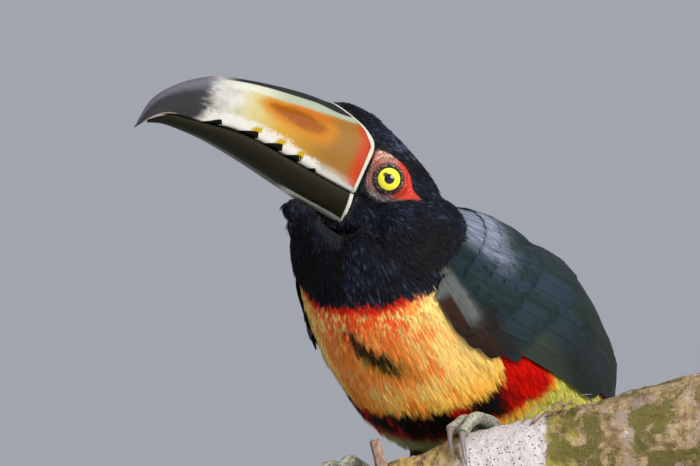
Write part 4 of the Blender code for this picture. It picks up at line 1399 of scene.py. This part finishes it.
# %% Grow the coat
KEEP = {"root", "tip", "tint", "thigh", "OFBake", "position", "material_index", "sharp_face"}
LOOSEN = 1.0


def grow(name, slot, part, spacing, tilt, tufts):
    carrier = new_object(name, flesh.copy())
    step = carrier.modifiers.new("coat", "NODES")
    step.node_group = COAT_TREE
    ids = {item.name: item.identifier for item in COAT_TREE.interface.items_tree if item.in_out == "INPUT"}
    space = spacing * LOOSEN * MM
    values = {"Tufts": tufts, "Spacing": space, "Tilt": tilt, "Part": part, "Seed": 1, "Material": COAT}
    for label, value in values.items():
        step[ids[label]] = value
    made = evaluated(carrier)
    for attribute in list(made.attributes):
        if attribute.name not in KEEP and not attribute.name.startswith("."):
            made.attributes.remove(attribute)
    return finished(new_object(name, smoothed(made)), slot, COAT)


grow("coat_head_left", "black_plumage", 0, 0.6, 0.14, CLOSE)
grow("coat_head_right", "black_plumage", 1, 0.72, 0.14, CLOSE)
grow("coat_neck", "black_plumage", 2, 0.68, 0.15, CLOSE)
grow("coat_breast_left", "breast_plumage", 3, 0.56, 0.17, LOOSE)
grow("coat_breast_right", "breast_plumage", 4, 0.6, 0.17, LOOSE)
grow("coat_belly", "breast_plumage", 5, 0.95, 0.18, LOOSE)
grow("coat_back", "mantle_plumage", 6, 1.2, 0.15, FINE)
for group in (LOOSE, CLOSE, FINE):
    for ob in list(group.objects):
        bpy.data.objects.remove(ob, do_unlink=True)
    bpy.data.collections.remove(group)

# %% [markdown]
# ## Eyes
# The iris is a bright yellow ring round a round black pupil, with a dark smudge ahead of it. The
# eyeball is a fine sphere whose colours depend on the angle from its axis, under a clear glossy
# layer for the wet front of the eye.
# %% Material of the eye
def eye_material(side):
    centre, axis = EYES[side]
    made = new_material("eye " + side)
    away = shift(here(), centre * 1000)
    high = dot(away, axis)
    ahead = (AHEAD - axis * AHEAD.dot(axis)).normalized()
    up = axis.cross(ahead).normalized()
    fore, top = dot(away, ahead), dot(away, up if up.z > 0 else -up)
    ring = calc("SQRT", highest(EYE_RADIUS**2 - high * high, 0.0))
    streak = noise(away, 1.3, 5.0, 0.7)
    iris = blend(ramp(2.0, 3.6, ring + streak * 0.8), (0.8, 0.66, 0.03), (0.9, 0.84, 0.05))
    smudge = calc("SQRT", (fore - 2.1) * (fore - 2.1) * 0.8 + (top - 0.9) * (top - 0.9)) + streak * 0.4
    iris = blend(ramp(1.6, 0.9, smudge) * 0.92, iris, (0.05, 0.035, 0.01))
    # the pupil: black with a faint blue, a painted reflection
    colour = blend(ramp(2.25, 2.1, ring), iris, (0.008, 0.008, 0.016))
    colour = blend(ramp(4.6, 4.85, ring), colour, (0.012, 0.01, 0.01))
    wet = {"Coat_Weight": 0.7, "Coat_Roughness": 0.02, "Specular_IOR_Level": 0.08}
    return surface(made, colour, 0.3 + 0.1 * streak, **wet)

# %% Make the eyeballs
for side, (centre, axis) in EYES.items():
    bm = bmesh.new()
    turn = axis.to_track_quat("Z", "Y").to_matrix().to_4x4()
    ball(bm, 48, 32, EYE_RADIUS * MM, Matrix.Translation(centre) @ turn)
    mesh = smoothed(mesh_of(bm, "eyeball_" + side))
    finished(new_object("eyeball_" + side, mesh), "eye", eye_material(side), "eye_" + side)

# %% [markdown]
# ## The perch and what grips it
# The perch is a short cut length of a branch. Its CAD line is a gentle curve of growing radius, and
# the same line places the toes. Bark is rough at several sizes at once: ridges, cracks and small
# warts are added to a fine mesh inside the CAD radius, with pale lichen and moss in its material.
# %% The branch's line
PERCH_AT = Vector((13.9, -27.9, 130.7))
PERCH_YAW, PERCH_RISE = math.radians(27), math.radians(15)
# distance along the branch, radius there, and how far its middle hangs below the straight line
PERCH = [
    (-62, 12.5, -3.0), (-50, 13.4, -2.4), (-36, 14.2, -1.6), (-22, 15.4, -0.6), (-8, 17.0, 0.4), (6, 17.4, 0.6),
    (14, 18.4, 0.2), (22, 19.7, 0.0), (36, 19.4, 0.2), (50, 19.8, 0.6), (70, 20.4, 1.4), (90, 21.2, 2.2),
    (110, 21.8, 2.8), (130, 22.4, 3.4),
]
RUN = Vector((math.cos(PERCH_YAW), math.sin(PERCH_YAW), 0))


def perch_frame(along):
    """Middle, front and top directions and radius of the branch at a distance along it."""
    i = 0
    while i < len(PERCH) - 2 and PERCH[i + 1][0] < along:
        i += 1
    t = (along - PERCH[i][0]) / (PERCH[i + 1][0] - PERCH[i][0])
    _, radius, drop = through(PERCH, i + t)
    ahead = RUN * math.cos(PERCH_RISE) + Vector((0, 0, math.sin(PERCH_RISE)))
    front = Vector((math.sin(PERCH_YAW), -math.cos(PERCH_YAW), 0))
    top = front.cross(ahead)
    top = top if top.z > 0 else -top
    return PERCH_AT + ahead * along - Vector((0, 0, drop)), front, top, radius


def on_perch(along, degrees, lift):
    """A point round the branch, in metres: degrees from its top towards its front."""
    centre, front, top, radius = perch_frame(along)
    a = math.radians(degrees)
    return (centre + (front * math.sin(a) + top * math.cos(a)) * (radius + lift)) * MM


# %% Bark as a mesh
OLD_RINGS = (-22, 14, 22, 70)


def bark_mesh():
    around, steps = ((160, 240))
    points, faces = [], []
    start, reach = PERCH[0][0], PERCH[-1][0] - PERCH[0][0]
    for i in range(steps + 1):
        along = start + reach * i / steps
        for j in range(around):
            turn = 360 * j / around
            p = on_perch(along, turn, 0) * 1000
            coarse = relief.fractal(p * 0.09, 1.0, 2.0, 3)
            fine = relief.fractal(p * 0.45, 0.8, 2.0, 3)
            warts = max(0.0, relief.noise(p * 0.35) - 0.35)
            lift = -0.85 + 0.9 * coarse + 0.45 * fine + 1.4 * warts
            for ring in OLD_RINGS:
                lift -= 0.5 * math.exp(-(((along - ring - 1.5 * math.sin(turn / 57.3 * 2)) / 1.2) ** 2))
            points.append(on_perch(along, turn, min(lift, 0.25)))
    for i in range(steps):
        for j in range(around):
            k = (j + 1) % around
            faces.append((i * around + j, i * around + k, (i + 1) * around + k, (i + 1) * around + j))
    for first, flip in ((0, True), (steps * around, False)):
        rings = [list(range(first, first + around))]
        for share in (0.86, 0.6, 0.3):
            centre = sum((points[k] for k in rings[0]), Vector()) / around
            rings.append(list(range(len(points), len(points) + around)))
            points += [centre + (points[k] - centre) * share for k in rings[0]]
        points.append(centre)
        for a, b in zip(rings, rings[1:]):
            for j in range(around):
                k = (j + 1) % around
                faces.append((a[j], b[j], b[k], a[k]) if flip else (a[j], a[k], b[k], b[j]))
        for j in range(around):
            faces.append((rings[-1][j], rings[-1][(j + 1) % around], len(points) - 1))
    return faced_out(mesh_from("branch", points, faces))

# %% Material of the bark
def bark_material():
    made = new_material("bark")
    place = here()
    big, mid, small = noise(place, 0.05, 4.0), noise(place, 0.22, 5.0, 0.65), noise(place, 1.1, 5.0, 0.7)
    run = dot(place, RUN)
    drift = (mid - 0.5) * 22
    drawn = noise(combined(run * 0.25, dot(place, Vector((0.2, -0.6, 0.8))) * 1.4, 0.0), 0.5, 4.0)
    brown = blend(ramp(0.35, 0.65, mid), (0.27, 0.17, 0.085), (0.6, 0.44, 0.25))
    colour = blend(ramp(18, 6, run + drift) * ramp(0.4, 0.6, drawn), brown, (0.85, 0.56, 0.15))
    pinkish = ramp(0.52, 0.6, noise(place, 0.08, 4.0, 0.6)) * ramp(60, 80, run)
    colour = blend(pinkish * 0.8, colour, (0.5, 0.38, 0.32))
    # pale lichen in the middle with black fruiting specks, moss beyond it
    lichen = ramp(16, 22, run + drift * 0.5) * ramp(56, 53, run + drift * 0.5)
    patches = highest(lichen, ramp(0.6, 0.66, mid * 0.5 + big * 0.5) * 0.8 * ramp(-40, -20, run))
    pale = blend(small, (0.74, 0.67, 0.68), (0.96, 0.9, 0.91))
    colour = blend(patches * 0.96, colour, pale)
    specks = ramp(0.3, 0.18, cells(place, 0.62)) * ramp(0.42, 0.52, noise(place, 0.16)) * patches
    colour = blend(specks * 0.9, colour, (0.03, 0.028, 0.03))
    strip = ramp(54, 57, run + drift * 0.25) * ramp(72, 62, run + drift) * ramp(0.35, 0.55, drawn)
    colour = blend(strip * 0.85, colour, (0.4, 0.36, 0.05))
    moss = ramp(0.47, 0.55, noise(place, 0.075, 5.0, 0.62, 0.5)) * ramp(50, 64, run + drift)
    moss = highest(moss, ramp(0.6, 0.66, big) * ramp(20, 4, run) * 0.8)
    colour = blend(moss * 0.9, colour, blend(small, (0.11, 0.1, 0.02), (0.33, 0.28, 0.07)))
    cracks = ramp(0.4, 0.3, drawn) * (1 - lichen)
    # painted shade in the cracks
    colour = blend(cracks * 0.32, colour, (0.05, 0.03, 0.015))
    height = mid * 1.6 + small * 1.1 + moss * small - cracks * 0.6 - specks * 0.2
    return surface(made, colour, 0.85, height, 0.0012, Specular_IOR_Level=0.2)

# %% Make the branch
finished(new_object("branch", bark_mesh()), "bark", bark_material(), "perch")

# %% [markdown]
# A side twig has snapped off beside one foot, and a few dry strips of bark have come loose on top.
# %% Broken twig and loose bark
def twig_and_strips():
    rng = np.random.default_rng(4)
    bm = bmesh.new()
    centre, front, top, radius = perch_frame(-12.5)
    direction = (top + front * 0.12).normalized()
    line = []
    for k in range(16):
        t = k / 15
        reach, thick = -6 + 17 * t, through([3.4, 2.9, 2.5, 2.3], t * 3)[0] - 0.15 + 0.12 * math.sin(9 * t)
        line.append(((centre + direction * (radius + reach)) * MM, thick * MM))
    sweep(bm, line, 18)
    end = line[-1][0]
    for v in bm.verts:
        if (v.co - end).length < 0.003:
            v.co -= direction * (rng.random() * 1.6 * MM)
    for k in range(9):
        start, turn, reach = 46 + 22 * rng.random(), 8 + 26 * rng.random(), 9 + 8 * rng.random()
        bend, rise = rng.uniform(-30, 30), 1.5 + 2.6 * rng.random()
        strip = []
        for i in range(9):
            t = i / 8
            lift = -0.9 + (rise + 1.5) * math.sin(math.pi * t * 0.8) + t
            place = on_perch(start + reach * t, turn + bend * t * t, lift)
            strip.append((place, (0.5 * (1 - 0.75 * t) + 0.08) * MM))
        sweep(bm, strip, 6, 0.5)
    bmesh.ops.recalc_face_normals(bm, faces=bm.faces)
    return smoothed(mesh_of(bm, "twig"))

# %% Dry bark on the twig
def twig_material():
    made = new_material("dry bark")
    grain = noise(stretch(here(), (1.2, 1.2, 0.3)), 0.7, 4.0, 0.7)
    colour = blend(ramp(0.35, 0.65, grain), (0.2, 0.11, 0.075), (0.52, 0.35, 0.28))
    return surface(made, colour, 0.8, grain, 0.0005, Specular_IOR_Level=0.2)


finished(new_object("broken_twig", twig_and_strips()), "bark", twig_material())

# %% [markdown]
# ## Feet and claws
# An aracari has two toes forward and two back. On each toe the skin is a row of broad scutes on top
# and small scales below. The toes follow the branch from the same numbers as in the CAD. Their tubes
# are fused by a fine remesh, and the scutes are then pressed into that surface, each step following
# the distance along its toe. Claws are curved cones with a keel.
# %% Places of toes and claws
FEET = {"left": 33.5, "right": -22.0}
HEELS = {"left": Vector((29.5, 20, 149)), "right": Vector((-12, 12, 140))}
# each toe: along the branch and degrees round it at its root and at its end, its radius at both, and
# the height of its arch
TOES = {
    "left": [
        ((-1, -50), (-13.2, 12), 3.2, 2.4, 2.2),
        ((4.5, -42), (-8, 32), 3.1, 2.3, 1.6),
        ((2.5, -58), (9, -104), 3.0, 2.2, 1.0),
        ((-2.5, -60), (-4, -92), 2.7, 2.0, 0.6),
    ],
    "right": [
        ((1.5, -50), (-8.5, 10), 3.2, 2.4, 2.2),
        ((-5.5, -42), (-18.5, 32), 3.1, 2.3, 1.6),
        ((-2.5, -58), (-9, -104), 3.0, 2.2, 1.0),
        ((2.5, -60), (4, -92), 2.7, 2.0, 0.6),
    ],
}
CLAW_REACH = (50, 46, 38, 32)
SCUTE_LENGTH = 1.75


print("toes on each foot:", len(TOES["left"]))

# %% Lines of toes and claws
def toe_line(foot, toe, steps=24):
    (a0, d0), (a1, d1), thick0, thick1, rise = toe
    line = []
    for i in range(steps + 1):
        t = i / steps
        thick = thick0 + (thick1 - thick0) * t
        knuckle = 0.5 - 0.5 * math.cos(2 * math.pi * 2.5 * t)
        lift = thick * (1 + 0.06 * knuckle) + 0.65 + rise * math.sin(math.pi * t) ** 2
        place = on_perch(FEET[foot] + a0 + (a1 - a0) * t, d0 + (d1 - d0) * t, lift)
        line.append((place, thick * (0.92 + 0.16 * knuckle) * MM))
    return line


def claw_line(foot, toe, reach, steps=26):
    (a0, d0), (a1, d1), _, thick, _ = toe
    sense = 1 if d1 > d0 else -1
    line = []
    for i in range(steps + 1):
        t = i / steps
        arch = 1.6 * math.sin(math.pi * min(1.0, t * 1.15)) * (1 - t)
        along = FEET[foot] + a1 + (a1 - a0) * 0.1 * t
        place = on_perch(along, d1 + sense * reach * t, (thick + 0.65) * (1 - t) + t + arch)
        line.append((place, (1.6 * (1 - t) ** 0.8 + 0.12) * MM))
    return line

# %% Fuse a foot and press in its scutes
def foot_mesh(side):
    lines = [toe_line(side, toe) for toe in TOES[side]]
    root, heel = on_perch(FEET[side] + 1, -54, 5.2), HEELS[side] * MM
    shank_radii = (3.6, 2.9, 2.6, 2.6, 2.8, 3.0, 2.8)
    shank = [(root.lerp(heel, k * 1.06 / 6), r * MM) for k, r in enumerate(shank_radii)]
    pad = [(on_perch(FEET[side] - 5.5 + 1.2 * k, -50 - 0.4 * k, 4.4), 4.0 * MM) for k in range(11)]
    bm = bmesh.new()
    for line in (*lines, shank, pad):
        sweep(bm, line)
    made = fused(bm, "foot", 0.0004, 4)
    points, normals = places(made), places(made, "no")
    best = np.full(len(points), 1e9)
    step_along = np.zeros(len(points))
    turn = np.zeros(len(points))
    for line in (*lines, shank):
        spots = np.array([p for p, _ in line])
        radii = np.array([r for _, r in line])
        run = np.r_[0, np.cumsum(np.linalg.norm(np.diff(spots, axis=0), axis=1))] / MM
        away = np.linalg.norm(points[:, None] - spots[None], axis=2) / radii[None]
        k = away.argmin(1)
        near = away[np.arange(len(points)), k]
        ahead = np.gradient(spots, axis=0)
        ahead /= np.linalg.norm(ahead, axis=1)[:, None]
        fine = run[k] + ((points - spots[k]) * ahead[k]).sum(1) / MM
        closer = near < best
        best = np.where(closer, near, best)
        step_along = np.where(closer, fine, step_along)
        outward = points - spots[k]
        away_from_branch = spots[k] - np.array([perch_frame(FEET[side])[0] * MM])
        cosine = (outward * away_from_branch).sum(1) / np.maximum(
            np.linalg.norm(outward, axis=1) * np.linalg.norm(away_from_branch, axis=1), 1e-9)
        turn = np.where(closer, cosine, turn)
    scute = (step_along / SCUTE_LENGTH) % 1
    top = smooth(-0.1, 0.5, turn)
    lift = top * (0.16 * smooth(0, 0.2, scute) * (1 - 0.45 * scute) - 0.05)
    put_back(made, points + normals * (lift * MM)[:, None])
    attribute_on(made, "scute", scute)
    attribute_on(made, "top", top)
    return smoothed(made)

# %% Scales and claw horn
def scale_material():
    made = new_material("foot scales")
    place, scute, top = here(), own("scute"), own("top")
    small = cells(place, 1.25, "DISTANCE_TO_EDGE")
    grain = noise(place, 0.7, 4.0, 0.6)
    colour = blend(ramp(0.35, 0.65, grain), (0.16, 0.18, 0.13), (0.5, 0.5, 0.4))
    gap = highest(ramp(0.14, 0.02, scute) * top, ramp(0.1, 0.02, small) * (1 - top))
    colour = blend(gap * 0.8, colour, (0.06, 0.07, 0.06))
    colour = blend(ramp(0.5, 0.9, scute) * top * 0.35, colour, (0.55, 0.56, 0.5))
    return surface(made, colour, 0.5 + 0.2 * grain, ramp(0.0, 0.2, small) * (1 - top) + grain * 0.3, 0.0002)


def claw_material():
    made = new_material("claw horn")
    place, tip = here(), own("tip")
    streak = noise(stretch(place, (1.5, 1.5, 0.4)), 1.2, 4.0, 0.6)
    colour = shaded(blend(tip, (0.3, 0.25, 0.24), (0.09, 0.07, 0.065)), 0.75 + 0.4 * streak)
    return surface(made, colour, 0.32 + 0.15 * streak, streak, 0.0001, Coat_Weight=0.5, Coat_Roughness=0.1)

# %% Make feet and claws
SCALES, CLAW = scale_material(), claw_material()
for side in ("left", "right"):
    finished(new_object("scaled_foot_" + side, foot_mesh(side)), "foot_scales", SCALES, "foot_" + side)
    bm = bmesh.new()
    for toe, reach in zip(TOES[side], CLAW_REACH):
        sweep(bm, claw_line(side, toe, reach), 20, 0.18)
    bmesh.ops.recalc_face_normals(bm, faces=bm.faces)
    mesh = smoothed(mesh_of(bm, "claws_" + side))
    count = len(mesh.vertices) // len(CLAW_REACH)
    attribute_on(mesh, "tip", [(k % count) / count for k in range(len(mesh.vertices))])
    finished(new_object("claws_" + side, mesh), "claw_horn", CLAW, *[f"claw_{side}_{k}" for k in range(1, 5)])

# %% [markdown]
# ## The stand
# A museum mount is kept plain: an oiled hardwood block with eased edges and two thin steel rods up to
# the branch, each in a small turned collar.
# %% Wood and steel
def wood_material():
    made = new_material("oiled hardwood")
    place = here()
    grain = stretch(place, (0.12, 1.0, 1.0))
    rings = noise(grain, 0.09, 2.0, 0.5, 0.6) * 14
    band = ramp(0.1, 0.9, calc("FRACT", rings))
    pores = noise(stretch(place, (0.06, 2.0, 2.0)), 1.6, 4.0, 0.7)
    colour = blend(band, (0.085, 0.042, 0.022), (0.16, 0.085, 0.045))
    colour = blend(ramp(0.55, 0.7, pores) * 0.6, colour, (0.035, 0.018, 0.01))
    return surface(made, colour, 0.42 + 0.15 * pores, pores + band * 0.3, 0.00015, Coat_Weight=0.15)


def steel_material():
    made = new_material("brushed steel")
    brushed = noise(stretch(here(), (3.0, 3.0, 0.15)), 1.5, 4.0, 0.7)
    colour = blend(brushed, (0.4, 0.4, 0.41), (0.62, 0.62, 0.63))
    return surface(made, colour, 0.28 + 0.2 * brushed, brushed, 0.00005, Metallic=1.0)

# %% The base
CORNER, EASED_EDGE = 0.012, 0.0025
low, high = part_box("stand_base")
bm = bmesh.new()
bmesh.ops.create_cube(bm, size=1)
filling = Matrix.Translation((low + high) / 2) @ Matrix.Diagonal(high - low).to_4x4()
bmesh.ops.transform(bm, matrix=filling, verts=bm.verts)
upright = [e for e in bm.edges if abs(e.verts[0].co.z - e.verts[1].co.z) > 0.01]
bmesh.ops.bevel(bm, geom=upright, offset=CORNER, segments=10, affect="EDGES", profile=0.5)
rims = [
    e for e in bm.edges
    if min(v.co.z for v in e.verts) > high.z - 1e-5 and len(e.link_faces) == 2
    and abs(e.link_faces[0].normal.z - e.link_faces[1].normal.z) > 0.5
]
bmesh.ops.bevel(bm, geom=rims, offset=EASED_EDGE, segments=5, affect="EDGES", profile=0.5)
finished(new_object("wooden_base", mesh_of(bm, "wooden_base")), "stand_wood", wood_material(), "stand_base")

# %% The rods
ROD_SIDES = 40
STEEL = steel_material()
for number in (1, 2):
    low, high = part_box(f"stand_rod_{number}")
    middle = (low + high) / 2
    # height in metres and radius in millimetres of the collar, then of the rod above it
    line = [(0.016, 7.0), (0.0178, 7.0), (0.0184, 6.6), (0.0187, 6.0), (0.0189, 4.05)]
    line += [(0.019 + (high.z - 0.019) * k / 8, 4.0) for k in range(9)]
    bm = bmesh.new()
    rings = []
    for z, radius in line:
        ring = []
        for a in (2 * math.pi * j / ROD_SIDES for j in range(ROD_SIDES)):
            x, y = middle.x + math.cos(a) * radius * MM, middle.y + math.sin(a) * radius * MM
            ring.append(bm.verts.new((x, y, z)))
        rings.append(ring)
    for a, b in zip(rings, rings[1:]):
        for j in range(ROD_SIDES):
            k = (j + 1) % ROD_SIDES
            bm.faces.new((a[j], a[k], b[k], b[j]))
    bm.faces.new(rings[0][::-1])
    bm.faces.new(rings[-1])
    mesh = mesh_of(bm, f"rod_{number}")
    for polygon in mesh.polygons:
        polygon.use_smooth = len(polygon.vertices) == 4
    finished(new_object(f"rod_{number}", mesh), "stand_steel", STEEL, f"stand_rod_{number}")

# %% [markdown]
# ## Floor, light and camera
# A pale matt floor and a pale surround keep the colours honest. A large soft lamp stands high to the
# right of the camera, as daylight from above would come, and a weaker one opens the shadows. The
# camera is far away with a long lens, a little below the bird.
# %% The floor
floor_material = new_material("pale floor")
surface(floor_material, blend(noise(here(), 0.002), (0.62, 0.62, 0.61), (0.64, 0.64, 0.63)), 0.9)
corners = [(-9, -9, 0), (9, -9, 0), (9, 9, 0), (-9, 9, 0)]
floor = new_object("floor", mesh_from("floor", corners, [(0, 1, 2, 3)]))
floor.data.materials.append(floor_material)

# %% The surround
world = bpy.data.worlds.new("surround")
bpy.context.scene.world = world
world.use_nodes = True
world.node_tree.nodes["Background"].inputs["Color"].default_value = (0.86, 0.9, 1.0, 1)
world.node_tree.nodes["Background"].inputs["Strength"].default_value = 0.42
bpy.context.scene.view_settings.view_transform = "Standard"

# %% The camera's directions
CAMERA_TURN, CAMERA_TILT = math.radians(35), math.radians(-2)
BACK = Vector((math.sin(CAMERA_TURN), -math.cos(CAMERA_TURN), 0)) * math.cos(CAMERA_TILT)
BACK.z = math.sin(CAMERA_TILT)
RIGHT = Vector((math.cos(CAMERA_TURN), math.sin(CAMERA_TURN), 0))
UP = BACK.cross(RIGHT)
MIDDLE = Vector((0, 0, 0.2))
AIM = MIDDLE + RIGHT * -0.03404 + UP * 0.04128
DISTANCE, LAMP_DISTANCE = 2.6, 1.6
SENSOR, SHOWN_WIDTH = 36, 700 / 2350

# %% Lamps
def lamp(name, direction, size, power, colour):
    data = bpy.data.lights.new(name, "AREA")
    data.shape, data.size, data.energy, data.color = "DISK", size, power, colour
    ob = bpy.data.objects.new(name, data)
    ob.location = MIDDLE + direction.normalized() * LAMP_DISTANCE
    ob.rotation_euler = direction.to_track_quat("Z", "Y").to_euler()
    bpy.context.scene.collection.objects.link(ob)


lamp("key", BACK + RIGHT * 0.6 + Vector((0, 0, 0.5)), 0.7, 25, (1.0, 0.96, 0.88))
lamp("sky", BACK * 0.25 + RIGHT * 0.2 + Vector((0, 0, 1.0)), 1.6, 9, (0.85, 0.92, 1.0))

# %% The camera
camera_data = bpy.data.cameras.new("camera")
camera_data.sensor_width = SENSOR
camera_data.lens = SENSOR * DISTANCE / SHOWN_WIDTH
camera_data.clip_end = 50
camera = bpy.data.objects.new("camera", camera_data)
turned_to_aim = Matrix((RIGHT, UP, BACK)).transposed().to_4x4()
camera.matrix_world = Matrix.Translation(AIM + BACK * DISTANCE) @ turned_to_aim
bpy.context.scene.collection.objects.link(camera)
bpy.context.scene.camera = camera
print("camera height", round(camera.location.z, 3), "lens", round(camera_data.lens, 1))

# %% Let go of unused meshes
for spare in list(bpy.data.meshes):
    if spare.users == 0:
        bpy.data.meshes.remove(spare)
